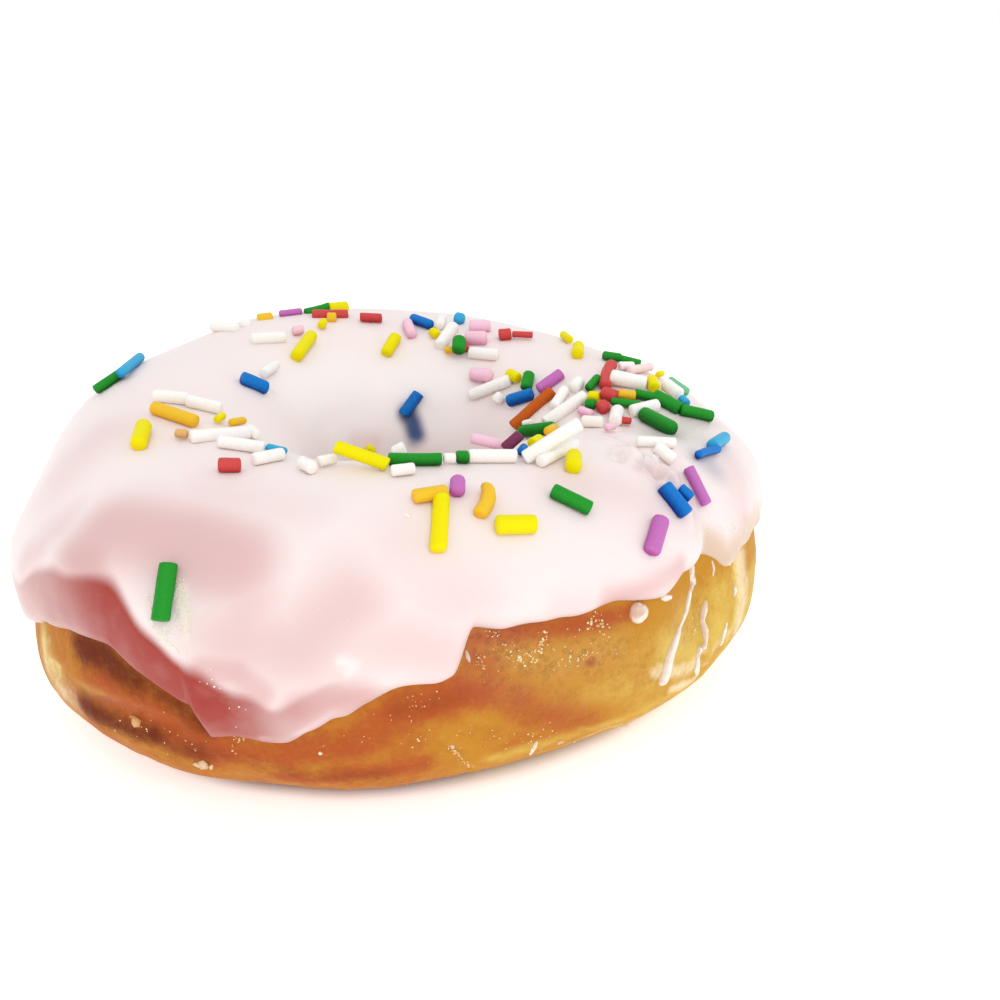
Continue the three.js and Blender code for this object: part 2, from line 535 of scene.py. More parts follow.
def dough_material(settings):
    """Fried dough: golden, amber where it browned, pale at the right, greasy in places, with
    painted shade and painted highlights.
    """
    shader = Shader(
        "fried dough",
        Subsurface_Weight=0.2,
        Subsurface_Radius=(1.0, 0.42, 0.16),
        Subsurface_Scale=2.0 * MM,
        Specular_IOR_Level=0.03,
        Coat_Roughness=0.16,
    )
    blotch = shader.noise(9.0, detail=4.0, roughness=0.55)
    mottle = shader.noise(2.4, detail=4.0)
    fine = shader.noise(0.6)
    uneven = (blotch - 0.5) * 0.8 + (mottle - 0.5) * 0.7 + (fine - 0.5) * 0.3
    browned = (shader.mask("amber") + uneven).smooth(0.0, 1.0)
    colour = shader.mix(browned, tuple(settings.golden), tuple(settings.amber))
    # Pale crust, with painted highlights on the fold and at the edges.
    pale_and_highlight = (shader.mask("pale") + uneven).smooth(0.1, 1.0)
    colour = shader.mix(pale_and_highlight, colour, tuple(settings.pale))
    # Painted shade: darker brown under the brow, in the fold and at the foot.
    painted_shading = (shader.mask("dark") + uneven * 0.6).smooth(0.05, 1.0)
    colour = shader.mix(painted_shading, colour, tuple(settings.dark))
    # Dried film of glaze, and painted rim light along the left and right edges.
    film = (shader.mask("glazed") + (mottle - 0.5) * 0.5 + (fine - 0.5) * 0.2).smooth(0.35, 1.05)
    colour = shader.mix(film * 0.75, colour, FILM_AND_RIM_LIGHT_COLOUR)
    shader.set("Base Color", colour)
    shader.set("Roughness", 0.38 + mottle * 0.2)
    greasy = shader.mask("greasy")
    shader.set("Coat Weight", greasy * 0.6 + (mottle.smooth(0.5, 0.8) * 0.05))
    bubbles = shader.cells(0.7).smooth(0.0, 0.6)
    pores = shader.bump(bubbles * (greasy + 0.12), 0.26)
    wrinkle = shader.bump(mottle, 0.24, pores)
    shader.set("Normal", shader.bump(fine, 0.06, wrinkle))
    return shader.material


def icing_material(settings):
    """Poured icing: nearly white where it is even, painted shade in pink on the brow's side, under
    folds and where it turns from the light, and painted highlights.
    """
    shader = Shader(
        "poured icing",
        Subsurface_Weight=0.3,
        Subsurface_Radius=(1.0, 0.5, 0.45),
        Subsurface_Scale=1.6 * MM,
        Specular_IOR_Level=0.25,
        Coat_Roughness=0.28,
    )
    drift = shader.noise(14.0, detail=2.0, roughness=0.5)
    cloud = shader.noise(4.0, roughness=0.55)
    grain = shader.noise(0.35, detail=2.0)
    deep = shader.mask("deep")
    thin = shader.mask("thin")
    sugar = shader.mask("sugar")
    wet = shader.mask("wet")
    # Painted shade: pinker, darker icing where the surface turns from the key light.
    flush = (shader.mask("flush") + (drift - 0.5) * 0.3).smooth(-0.05, 1.0)
    colour = shader.mix(flush, tuple(settings.pale), tuple(settings.shade_rose))
    # Deep pink painted shade on the brow's side, under folds and along the lower edge.
    deep_shade = (deep + (cloud - 0.5) * 0.3 * deep).at_most(1.0)
    colour = shader.mix(deep_shade, colour, tuple(settings.deep))
    seep = (thin + (cloud - 0.5) * 0.7).smooth(0.3, 1.0) * thin
    colour = shader.mix(seep, colour, tuple(settings.seep))
    colour = shader.mix(wet * 0.5, colour, WET_COLOUR)
    colour = shader.mix(sugar * (0.3 + grain * 0.5), colour, SUGARED_COLOUR)
    # Painted highlights, and painted light on the shaded slope inside the hole.
    colour = shader.mix(shader.mask("bright"), colour, PAINTED_HIGHLIGHT_COLOUR)
    stain = shader.mix(cloud.smooth(0.5, 0.75), *DYE_COLOURS)
    colour = shader.mix(shader.mask("dye"), colour, stain)
    shader.set("Base Color", colour)
    shader.set("Roughness", 0.44 - wet * 0.2 + sugar * 0.15 + (cloud - 0.5) * 0.08)
    shader.set("Coat Weight", 0.1 + wet * 0.4)
    crystals = shader.bump(grain * sugar, 0.3)
    shader.set("Normal", shader.bump(cloud, 0.05, crystals))
    return shader.material


def sprinkle_material(name, under, upper):
    """Pressed sugar, with painted light on the side facing the key light and painted shade below,
    and faint rings along the rod.
    """
    shader = Shader(
        "sprinkle " + name,
        Subsurface_Weight=0.1,
        Subsurface_Radius=(0.6, 0.6, 0.6),
        Subsurface_Scale=0.4 * MM,
        Specular_IOR_Level=0.07,
        Coat_Weight=0.03,
        Coat_Roughness=0.2,
    )
    dust = shader.noise(0.7)
    # Painted light and shade: the colour is lighter where a face turns to the key light.
    painted_light = shader.mask("upper") + (shader.mask("tone") - 0.5) * 0.35 + (dust - 0.5) * 0.25
    shader.set("Base Color", shader.mix(painted_light.smooth(0.1, 0.95), under, upper))
    shader.set("Roughness", 0.32 + dust * 0.16)
    turns = shader.mask("along") * (2 * math.pi / ROD_RING_PITCH)
    rings = shader.bump(turns.sine(), 0.012)
    shader.set("Normal", shader.bump(dust, 0.03, rings))
    return shader.material


def glaze_material():
    """Dried thin glaze: pinkish, milky and glossy."""
    shader = Shader(
        "dried glaze",
        Transmission_Weight=0.3,
        Subsurface_Weight=0.3,
        Subsurface_Radius=(1.0, 0.8, 0.7),
        Subsurface_Scale=1.0 * MM,
        Coat_Weight=0.25,
        Coat_Roughness=0.1,
        IOR=1.4,
    )
    milk = shader.noise(0.9)
    shader.set("Base Color", shader.mix(milk.smooth(0.3, 0.7), *GLAZE_COLOURS))
    shader.set("Roughness", 0.22 + milk * 0.2)
    shader.set("Normal", shader.bump(milk, 0.05))
    return shader.material


def sugar_material(name, colours):
    """Sugar grains between two colours, with glossy faces."""
    shader = Shader(name, Specular_IOR_Level=0.6, Subsurface_Weight=0.4, Subsurface_Scale=0.3 * MM)
    shader.set("Base Color", shader.mix(shader.mask("tone"), *colours))
    uneven = shader.noise(0.25, detail=2.0, roughness=0.5)
    shader.set("Roughness", 0.1 + uneven * 0.2)
    return shader.material


def crumb_material():
    """Loose crumbs of dough and icing."""
    shader = Shader("crumbs", Subsurface_Weight=0.2, Subsurface_Scale=0.6 * MM)
    rough = shader.noise(0.4)
    shader.set("Base Color", shader.mix(shader.mask("tone"), *CRUMB_COLOURS))
    shader.set("Roughness", 0.5 + rough * 0.3)
    shader.set("Normal", shader.bump(rough, 0.08))
    return shader.material


def floor_material(settings):
    """A plain white sweep that glows, so that it stays white, except in a narrow ring by the foot
    where the glow is left off: painted contact shadow.
    """
    shader = Shader("white sweep", Roughness=0.9, Specular_IOR_Level=0.0, Emission_Strength=1.0)
    shader.set("Base Color", tuple(settings.floor_colour))
    glow = (settings.floor_glow,) * 3
    shader.set("Emission Color", shader.mix(shader.mask("glow"), (0.0, 0.0, 0.0), glow))
    return shader.material


# ---- Dough ----------------------------------------------------------------------------

FRONT_AZIMUTHS = (-158.0, -12.0)
FRONT_COLUMNS = 380
BACK_COLUMNS = 230

# Turn where each band of rows starts, and how many rows it has.
DOUGH_BANDS = ((-58, 100), (46, 26), (200, 30))

# Lines in the wall, by pixel: corners, half width and depth in mm (a negative depth is a ridge).
WALL_LINES = (
    (((58, 668), (90, 694), (130, 709), (172, 724)), 1.3, 0.65),
    (((48, 650), (80, 676), (120, 692), (158, 706)), 2.0, -0.25),
    (((699, 582), (704, 622), (705, 652), (702, 674)), 0.9, 0.8),
    (((452, 752), (464, 760), (474, 767)), 0.35, -0.45),
    (((440, 742), (456, 752), (468, 766)), 0.45, 0.35),
    (((500, 762), (534, 752), (575, 742)), 0.4, 0.25),
    (((572, 722), (586, 731)), 0.5, 0.3),
)
WALL_PITS = (((590, 663), 0.35, 0.5), ((620, 640), 0.4, 0.2), ((548, 690), 0.6, 0.2))

# Patches of colour on the wall, by pixel: corners, half width in mm and strength.
# Painted shade on the wall: under the brow of icing, in the fold and along the foot.
BROWN_SHADE_PATCHES = (
    (((86, 646), (108, 654), (138, 678)), 2.5, 0.95),
    (((132, 672), (170, 696), (206, 724)), 1.8, 0.7),
    (((88, 706), (120, 722), (156, 734)), 1.9, 0.92),
    (((160, 738), (200, 752)), 2.4, 0.6),
    (((214, 750), (300, 770), (380, 773)), 1.8, 0.38),
    (((398, 712), (430, 705), (460, 696)), 1.4, 0.32),
)
AMBER_PATCHES = (
    (((110, 690), (140, 704), (180, 730), (215, 745)), 5.0, 1.0),
    (((215, 750), (290, 756), (360, 738), (405, 708), (460, 690)), 3.4, 0.9),
    (((395, 712), (430, 706), (462, 694)), 2.0, 1.25),
    (((280, 776), (350, 772), (420, 762)), 2.4, 0.85),
    (((440, 705), (480, 690)), 3.0, 0.9),
    (((466, 728), (520, 736)), 2.4, 0.42),
    (((476, 638), (530, 630), (590, 622), (636, 610)), 1.5, 0.9),
    (((470, 650), (486, 690), (530, 712), (590, 722)), 3.0, 0.7),
    (((500, 745), (560, 730), (600, 722)), 1.4, 0.5),
    (((576, 722), (592, 716)), 0.9, 0.8),
    (((356, 764), (380, 766)), 0.7, 0.8),
    (((588, 663), (593, 662)), 0.6, 0.9),
    (((700, 606), (700, 640)), 0.9, 0.5),
)
# Pale crust at the right and along the foot, with painted highlights on the fold and along the left
# and right edges.
PALE_AND_HIGHLIGHT_PATCHES = (
    (((62, 676), (100, 690), (136, 700)), 1.2, 0.34),
    (((44, 640), (54, 668)), 3.4, 0.66),
    (((672, 652), (696, 650), (720, 630), (722, 600)), 4.2, 0.85),
    (((600, 690), (650, 690)), 3.0, 0.5),
    (((490, 757), (540, 742), (600, 726), (650, 706), (690, 680)), 1.3, 0.62),
    (((735, 560), (738, 600), (728, 640)), 1.6, 0.9),
)
# Where thin glaze dried to a whitish film, with painted rim light along the left and right edges,
# and where fat shines through a bubbly crust.
FILM_AND_RIM_LIGHT_PATCHES = (
    (((741, 560), (743, 590), (738, 622)), 3.0, 0.84),
    (((656, 672), (690, 670), (706, 655)), 1.5, 0.78),
    (((672, 690), (690, 682), (706, 668)), 1.1, 0.8),
    (((716, 648), (730, 632)), 1.6, 0.6),
    (((45, 648), (50, 664), (59, 684), (70, 697)), 4.2, 0.68),
    (((500, 758), (560, 744), (620, 724), (664, 704)), 0.8, 0.6),
)
GREASY_PATCHES = (
    (((480, 640), (520, 655), (560, 664), (608, 652)), 3.0, 1.0),
    (((476, 672), (520, 690)), 2.6, 0.6),
    (((560, 690), (640, 670), (700, 620)), 4.0, 0.45),
    (((66, 686), (110, 700), (150, 712)), 0.8, 0.3),
)

# Colour outside those patches, on stretches of the wall. A stretch is its start and end
# azimuth and the width of each side's step. Colours come and go between two heights, or
# two depths below the icing's edge, in mm.
PATCHED_STRETCH = (-190, -5, 30, 20)  # outside it, the wall is browned above and pale below
LEFT_STRETCH = (-150, -78, 30, 20)
RIGHT_STRETCH = (-76, 150, 12, 40)
FAR_RIGHT_STRETCH = (-52, 5, 44, 30)
LEFT_AMBER = 0.5
BACK_AMBER = 0.45
UNDER_EDGE_AMBER = 0.6
UNDER_EDGE_REACH = 2.0  # mm
RIGHT_AMBER_HEIGHTS = (0.5, 3.5)
RIGHT_FOOT_PALE = 0.55
RIGHT_FOOT_HEIGHTS = (0.8, 2.6)
BACK_PALE = 0.8
BACK_PALE_DEPTHS = (5, 11)
FAR_RIGHT_PALE = 0.6
FAR_RIGHT_DEPTHS = (1, 5)
# The foot is painted darker up to these heights, as contact shade, and less so at the right.
CONTACT_SHADE_HEIGHTS = (0.1, 1.1)
RIGHT_FOOT_LESS_SHADE = 0.6

# Unevenness by layers of noise: depth and size of its features, in mm, and seed.
SWELLS = (0.34, 12.0, 1)
LUMPS = (0.13, 4.5, 2)
WRINKLES = (0.07, 1.7, 3)
RAGGED_FOOT = (0.28, 1.5, 4)
WRINKLE_STRETCH = np.array((1, 1, 0.6))  # wrinkles run up the wall
# Heights between which unevenness comes in, and the ragged foot comes in and ends.
EVEN_BASE_HEIGHTS = (0.0, 4.0)
RAGGED_FOOT_BASE = (0.0, 0.4)
RAGGED_FOOT_TOP = (0.8, 3.0)


def ring_columns():
    """Azimuths of the grid's columns, closer together at the front."""
    start, end = FRONT_AZIMUTHS
    front = np.linspace(start, end, FRONT_COLUMNS, endpoint=False)
    back = np.linspace(end, start + 360, BACK_COLUMNS, endpoint=False)
    return np.concatenate((front, back))


def dough_turns():
    """Turns of the dough's rows, closest together on the outer wall."""
    starts = [start for start, _ in DOUGH_BANDS] + [DOUGH_BANDS[0][0] + 360]
    bands = [
        np.linspace(starts[i], starts[i + 1], rows, endpoint=False)
        for i, (_, rows) in enumerate(DOUGH_BANDS)
    ]
    return np.concatenate(bands)


def unevenness(points, layer):
    """One layer: its depth times noise of its size and seed."""
    depth, size, seed = layer
    return depth * noise(points, size, seed)


def swelling(points, azimuth, turn, settings):
    """The points moved out by the largest unevenness, which shows through the icing too."""
    relief = settings.relief * unevenness(points, SWELLS)
    relief = relief * smooth(points[..., 2], *EVEN_BASE_HEIGHTS)
    return points + relief[..., None] * section_outward(azimuth, turn)


def dough_relief(points, amount):
    """Small unevenness of the dough in mm: lumps and wrinkles, and a ragged foot."""
    z = points[..., 2]
    lumps = unevenness(points, LUMPS)
    wrinkles = unevenness(points * WRINKLE_STRETCH, WRINKLES)
    foot = unevenness(points, RAGGED_FOOT) * (1 - smooth(z, *RAGGED_FOOT_TOP))
    foot = foot * smooth(z, *RAGGED_FOOT_BASE)
    return amount * (lumps + wrinkles) * smooth(z, *EVEN_BASE_HEIGHTS) + foot


def line_bell(points, pixels, half_width, carrier):
    """exp(-d^2), with d the distance from a line of pixels in half widths."""
    distance = line_distance(points, carrier.pins(pixels))
    return np.exp(-((distance / half_width) ** 2))


def patch_mask(points, patches, carrier):
    """The strongest of the patches at each point: its strength times the bell of its line."""
    mask = np.zeros(points.shape[:-1])
    for pixels, half_width, strength in patches:
        mask = np.maximum(mask, strength * line_bell(points, pixels, half_width, carrier))
    return mask


def dough_masks(points, azimuth, wall):
    """Where the wall is browned; pale, with painted highlights; in painted shade; filmed with
    glaze, with painted rim light; and greasy, each from 0 to 1.
    """
    z = points[..., 2]
    below_icing = edge_height(azimuth) - z
    back = 1 - span(azimuth, *PATCHED_STRETCH)
    left = span(azimuth, *LEFT_STRETCH)
    right = span(azimuth, *RIGHT_STRETCH)
    far_right = span(azimuth, *FAR_RIGHT_STRETCH)
    under_edge = UNDER_EDGE_AMBER * np.exp(-np.maximum(below_icing, 0) / UNDER_EDGE_REACH)
    amber = np.maximum(patch_mask(points, AMBER_PATCHES, wall), LEFT_AMBER * left)
    amber = np.maximum(amber, back * (BACK_AMBER + under_edge))
    amber = amber * (1 - right * (1 - smooth(z, *RIGHT_AMBER_HEIGHTS)))
    pale_foot = RIGHT_FOOT_PALE * right * (1 - smooth(z, *RIGHT_FOOT_HEIGHTS))
    pale = np.maximum(patch_mask(points, PALE_AND_HIGHLIGHT_PATCHES, wall), pale_foot)
    pale = np.maximum(pale, back * BACK_PALE * smooth(below_icing, *BACK_PALE_DEPTHS))
    pale = np.maximum(pale, FAR_RIGHT_PALE * far_right * smooth(below_icing, *FAR_RIGHT_DEPTHS))
    foot = (1 - smooth(z, *CONTACT_SHADE_HEIGHTS)) * (1 - RIGHT_FOOT_LESS_SHADE * right)
    return {
        "amber": amber,
        "pale": pale,
        "dark": np.maximum(patch_mask(points, BROWN_SHADE_PATCHES, wall), foot),
        "glazed": patch_mask(points, FILM_AND_RIM_LIGHT_PATCHES, wall),
        "greasy": patch_mask(points, GREASY_PATCHES, wall),
    }


def make_dough(settings):
    """The ring: the section carried round, with relief, lines and pits along its outward."""
    azimuth, turn = np.meshgrid(ring_columns(), dough_turns(), indexing="ij")
    points = swelling(ring_point(azimuth, *dough_section(azimuth, turn)), azimuth, turn, settings)
    wall = cad_carrier("dough")
    depth = -dough_relief(points, settings.relief)
    for pixels, half_width, amount in WALL_LINES:
        depth += amount * line_bell(points, pixels, half_width, wall)
    for pixel, half_width, amount in WALL_PITS:
        distance = np.linalg.norm(points - wall.pin(pixel), axis=-1)
        depth += amount * np.exp(-((distance / half_width) ** 2))
    points = points - depth[..., None] * section_outward(azimuth, turn)
    points[..., 2] = np.maximum(points[..., 2], 0)
    faces = grid_faces(*azimuth.shape)
    masks = dough_masks(points, azimuth, wall)
    material = dough_material(settings)
    piece = add_piece("dough_ring", points.reshape(-1, 3), faces, material, masks)
    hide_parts("dough")


# ---- Icing ----------------------------------------------------------------------------

ICING_ROWS = 138
ICING_UNDER_ROWS = 10
ROW_CROWDING = 1.35  # rows lie closer together towards the lower edge
SINK = 0.25  # the edge and the underside lie this deep in the dough
UNDERSIDE = 0.6  # how much deeper the underside lies where the icing is thick
HOLE_LIP = 6.0  # run over which the icing thins out down the hole
SHARP_LIP = dict(stretch=(-160, -95, 10, 8), less=0.5)  # where the lower edge rounds off less
TOP_TURN = 80  # past it the lower edge and the brow are too far off to matter
EDGE_NEIGHBOURS = 14  # columns on either side whose edge may be the nearest

# The edges' raggedness and the surface's unevenness, as layers of noise: depth and size of
# its features, and seed. The first takes its depth from the settings, and the second's is
# in degrees.
RIPPLE_SIZE, RIPPLE_SEED = 3.2, 21
HOLE_RIPPLE = (4, 7.0, 22)
ICING_SWELLS = (0.28, 17.0, 11)
ICING_LUMPS = (0.09, 6.0, 12)
EVEN_RUN = 6  # run from the lower edge over which the unevenness comes in

# The crease along the brow, by pixel, from the left to where it meets the edge. Below it
# the side of the icing falls back to its edge.
CREASE = (
    (24, 584), (38, 566), (59, 564), (66, 573), (98, 574), (120, 580), (133, 602), (141, 627),
    (164, 646), (178, 662), (200, 668), (216, 679), (225, 689), (254, 692), (268, 706),
    (277, 712), (296, 699), (315, 688), (334, 676), (350, 684), (376, 684), (398, 683),
)
# The brow by azimuth: how far it stands out at the crease and falls back at the edge, in mm,
# and how strong the deep pink painted shade on its side is.
BROW = np.array(
    (
        (-164, 0.0, 0.0, 0.0),
        (-152, 0.95, 0.9, 0.06),
        (-146, 1.05, 1.0, 0.18),
        (-142, 1.2, 1.0, 0.34),
        (-137, 1.3, 1.0, 0.54),
        (-128, 1.3, 1.0, 0.76),
        (-122, 1.3, 1.05, 1.0),
        (-107, 1.2, 1.05, 1.0),
        (-103, 1.1, 0.9, 0.85),
        (-99, 0.8, 0.6, 0.46),
        (-95, 0.6, 0.4, 0.26),
        (-90, 0.45, 0.2, 0.17),
        (-84, 0.0, 0.0, 0.0),
    )
)
BROW_FADE = 6.5  # mm above the crease over which the brow blends in
BROW_SIDE = 0.4  # mm of side that there is at least between the edge and the crease
BROW_POWER = 0.8  # less than 1 makes the side bulge
CREASE_DENT = dict(depth=0.12, half_width=0.1)  # shares of the thickness and of the side
# The deep pink is painted shade on the side under the crease.
BROW_SHADE_END = (0.86, 1.06)  # shares of the side between which its pink ends
BROW_SHADE_LIP = dict(less=0.25, reach=0.12)  # its pink is weaker just over the edge
CREASE_BLEND = 2.6  # degrees over which the crease's heights are evened out
CREASE_STEP = 0.2  # degrees between them
# The thin icing beyond the pinch: it is thinner by depth at the edge, less so over its reach.
THIN = dict(stretch=(-33, 8, 3, 24), depth=1.4, reach=11)
# Dough shows through it near the edge, and no longer between these two runs from there.
SEE_THROUGH = dict(stretch=(-33, 10, 3, 20), runs=(0.5, 8))
# The rim of the lower edge is darker pink past the brow, partly painted shade under the rounded
# edge and partly the dough's colour through the thin edge; the brow ends between these azimuths.
RIM = dict(azimuths=(-101, -70), strength=0.22, reach=0.6)
# Strengths between which a patch of sugar or dye comes in.
SUGAR_STRENGTHS = (0.3, 0.6)
DYE_STRENGTHS = (0.1, 0.95)

# Creases in the icing, by pixel: corners, half width and depth in mm.
ICING_LINES = (
    (((697, 560), (697, 530), (695, 502), (680, 476), (646, 453), (610, 433)), 0.7, 0.55),
    (((612, 452), (640, 462), (668, 470)), 0.6, 0.3),
    (((634, 457), (650, 461)), 0.9, -0.55),
    (((626, 436), (655, 452), (690, 460)), 0.5, 0.25),
    (((205, 700), (232, 688), (262, 697)), 0.6, 0.2),
    (((300, 722), (324, 706), (350, 694)), 0.7, 0.3),
)
# Fine flakes where the icing was folded, by pixel, and lumps in its thin edge.
FLAKES = (((626, 454), (644, 464), (670, 472)), 1.9, 1.6)
FLAKE_SIZE, FLAKE_SEED = 1.3, 14
EDGE_LUMP_STRETCH = (-34, -8, 4, 8)
EDGE_LUMP_REACH = 3.2
EDGE_LUMPS = (0.42, 1.5, 23)
FACE_LUMPS = (0.42, 1.5, 24)
WET_PATCHES = ((((668, 440), (690, 424), (704, 416)), 2.6, 1.0),)
# Patches of colour by pixel: corners, half width in mm and strength.
# Pinker icing that stands for shade: painted shade where the surface turns from the key light, in
# hollows above the brow and inside the hole.
SHADE_PINK_PATCHES = (
    (((90, 562), (112, 530), (180, 544), (236, 562)), 5.0, 1.0),
    (((45, 535), (62, 522)), 4.0, 0.45),
    (((236, 562), (248, 600), (240, 640)), 5.0, 0.6),
    (((232, 640), (300, 650), (350, 600)), 5.5, 0.62),
    (((205, 668), (238, 672), (262, 692)), 1.8, 1.0),
    (((360, 640), (400, 645), (445, 655)), 4.5, 0.46),
    (((400, 560), (430, 580), (460, 600)), 5.5, 0.36),
    (((300, 705), (330, 700), (360, 695)), 2.5, 0.9),
    (((560, 480), (640, 500), (690, 520)), 4.0, 0.3),
    (((722, 455), (736, 480), (742, 510)), 4.0, 0.42),
    (((556, 604), (590, 598)), 1.8, 0.36),
    (((604, 595), (640, 588), (680, 568)), 1.7, 0.85),
    (((60, 480), (100, 440)), 6.0, 0.4),
    (((200, 500), (300, 515)), 4.5, 0.34),
    (((26, 560), (40, 550)), 3.2, 0.55),
    (((352, 440), (372, 440)), 1.6, 0.6),
)
# Deep pink painted shade: under the fold of the low lobe, beside the brow and under the folded
# lumps.
DEEP_SHADE_PATCHES = (
    (((302, 716), (322, 704), (345, 693)), 1.5, 0.3),
    (((356, 690), (382, 687)), 0.35, 0.28),
    (((215, 700), (250, 716), (276, 730)), 1.6, 0.5),
    (((642, 470), (652, 476), (664, 476)), 1.0, 0.24),
    (((628, 446), (640, 452)), 0.8, 0.14),
    (((72, 558), (98, 567)), 1.8, 0.14),
)
# Painted highlights on the fold, the lip and the ledge, and painted light on the shaded slope
# inside the hole.
PAINTED_HIGHLIGHT_PATCHES = (
    (((340, 660), (355, 664), (348, 671)), 0.5, 0.9),
    (((348, 684), (372, 685), (399, 683)), 0.28, 0.9),
    (((165, 641), (185, 655)), 0.35, 0.8),
    (((298, 730), (316, 718), (334, 706)), 0.5, 0.5),
    (((262, 736), (282, 734)), 0.4, 0.3),
    (((300, 396), (350, 384), (450, 384)), 5.0, 0.7),
    (((330, 430), (380, 412), (450, 424)), 4.0, 0.6),
)
SUGAR_PATCHES = (
    (((150, 604), (156, 630), (172, 646)), 0.8, 0.7),
    (((180, 590), (185, 618), (188, 640)), 0.9, 0.75),
)
# Blue dye that ran from sprinkles.
DYE_STAINS = (
    (((408, 414), (412, 422), (416, 434)), 1.7, 1.0),
    (((414, 440), (420, 436)), 1.6, 0.62),
    (((703, 462), (710, 470)), 3.4, 0.44),
    (((268, 391), (272, 394)), 0.9, 0.3),
    (((522, 448), (530, 452)), 1.0, 0.25),
)


def icing_edge_distance(azimuth, height, edge):
    """Distance over the wall, in mm, of each grid point from the lower edge's line.

    Each column's edge point joins the next one's, and the nearest of the stretches of
    nearby columns counts. Sideways mm are azimuths times the outer radius.
    """
    sideways = np.radians(azimuth[:, 0]) * OUTER_RADIUS
    whole_turn = 2 * math.pi * OUTER_RADIUS
    nearest = np.full(azimuth.shape, np.inf)
    for offset in range(-EDGE_NEIGHBOURS, EDGE_NEIGHBOURS):
        start_x = np.roll(sideways, -offset)
        end_x = np.roll(sideways, -offset - 1)
        start_x = start_x - whole_turn * np.round((start_x - sideways) / whole_turn)
        end_x = end_x - whole_turn * np.round((end_x - sideways) / whole_turn)
        start_y, end_y = np.roll(edge, -offset), np.roll(edge, -offset - 1)
        run_x, run_y = end_x - start_x, end_y - start_y
        gap_x = (sideways - start_x)[:, None]
        gap_y = height - start_y[:, None]
        length = (run_x**2 + run_y**2)[:, None]
        share = np.clip((gap_x * run_x[:, None] + gap_y * run_y[:, None]) / length, 0, 1)
        distance = np.hypot(gap_x - share * run_x[:, None], gap_y - share * run_y[:, None])
        nearest = np.minimum(nearest, distance)
    return nearest


def rounded_edge(distance, reach):
    """0 at an edge and 1 from reach inwards: sqrt(1 - (1 - d / reach)^2)."""
    inward = np.clip(distance / reach, 0, 1)
    return np.sqrt(1 - (1 - inward) ** 2)


class Brow:
    """The thick brow of icing: the heights of its crease, read where the pins lie."""

    def __init__(self, carrier, wall):
        pins = carrier.pins(CREASE) - RING_CENTRE
        azimuths = np.degrees(np.arctan2(pins[:, 1], pins[:, 0]))
        heights = [wall.nearest(pin + RING_CENTRE)[0][2] for pin in pins]
        first, last = azimuths[0] - CREASE_BLEND, azimuths[-1] + CREASE_BLEND
        self.azimuths = np.arange(first, last, CREASE_STEP)
        gaps = np.abs(self.azimuths[:, None] - self.azimuths) / CREASE_BLEND
        weights = np.cos(np.clip(gaps, 0, 1) * math.pi / 2) ** 2
        self.heights = weights @ np.interp(self.azimuths, azimuths, heights) / weights.sum(1)

    def share(self, azimuth, z):
        """0 at the icing's edge, 1 at the crease and more above it."""
        edge = edge_height(azimuth)
        crease = np.interp(wrap(azimuth), self.azimuths, self.heights)
        crease = np.maximum(crease, edge + BROW_SIDE)
        above = 1 + (z - crease) / BROW_FADE
        return np.where(z < crease, (z - edge) / (crease - edge), above)

    def value(self, azimuth, column):
        """The brow's value at an azimuth, from that column of its table."""
        return np.interp(wrap(azimuth), BROW[:, 0], BROW[:, column])

    def thickness(self, azimuth, z):
        """Extra thickness in mm: less at the edge, most at the crease, fading above it."""
        out, back = self.value(azimuth, 1), self.value(azimuth, 2)
        share = self.share(azimuth, z)
        below = (out + back) * np.clip(share, 0, 1) ** BROW_POWER - back
        dent = CREASE_DENT["depth"] * np.exp(-(((share - 1) / CREASE_DENT["half_width"]) ** 2))
        return np.where(share < 1, below, out * (1 - smooth(share, 1, 2))) * (1 - dent)

    def shade(self, azimuth, z):
        """Painted shade: most low on the side under the crease, and 0 above it, times how deep its
        pink is.
        """
        share = self.share(azimuth, z)
        weaker = np.exp(-np.maximum(share, 0) / BROW_SHADE_LIP["reach"])
        lip = 1 - BROW_SHADE_LIP["less"] * weaker
        return self.value(azimuth, 3) * (1 - smooth(share, *BROW_SHADE_END)) * lip


def icing_thickness(azimuth, z, run, brow, settings):
    """Thickness in mm: the even coat, the brow's extra, less where it is thin."""
    thin = THIN["depth"] * span(azimuth, *THIN["stretch"])
    thin = thin * (1 - smooth(run, 0, THIN["reach"]))
    return settings.thickness + brow.thickness(azimuth, z) - thin


def icing_relief(points, run):
    """Soft unevenness of the poured surface in mm, less near the lower edge."""
    relief = unevenness(points, ICING_SWELLS) + unevenness(points, ICING_LUMPS)
    return relief * smooth(run, 0, EVEN_RUN)


def flakes(points):
    """Noise folded into thin ridges: 0.5 - 2 |noise|."""
    return 0.5 - 2 * np.abs(noise(points, FLAKE_SIZE, FLAKE_SEED))


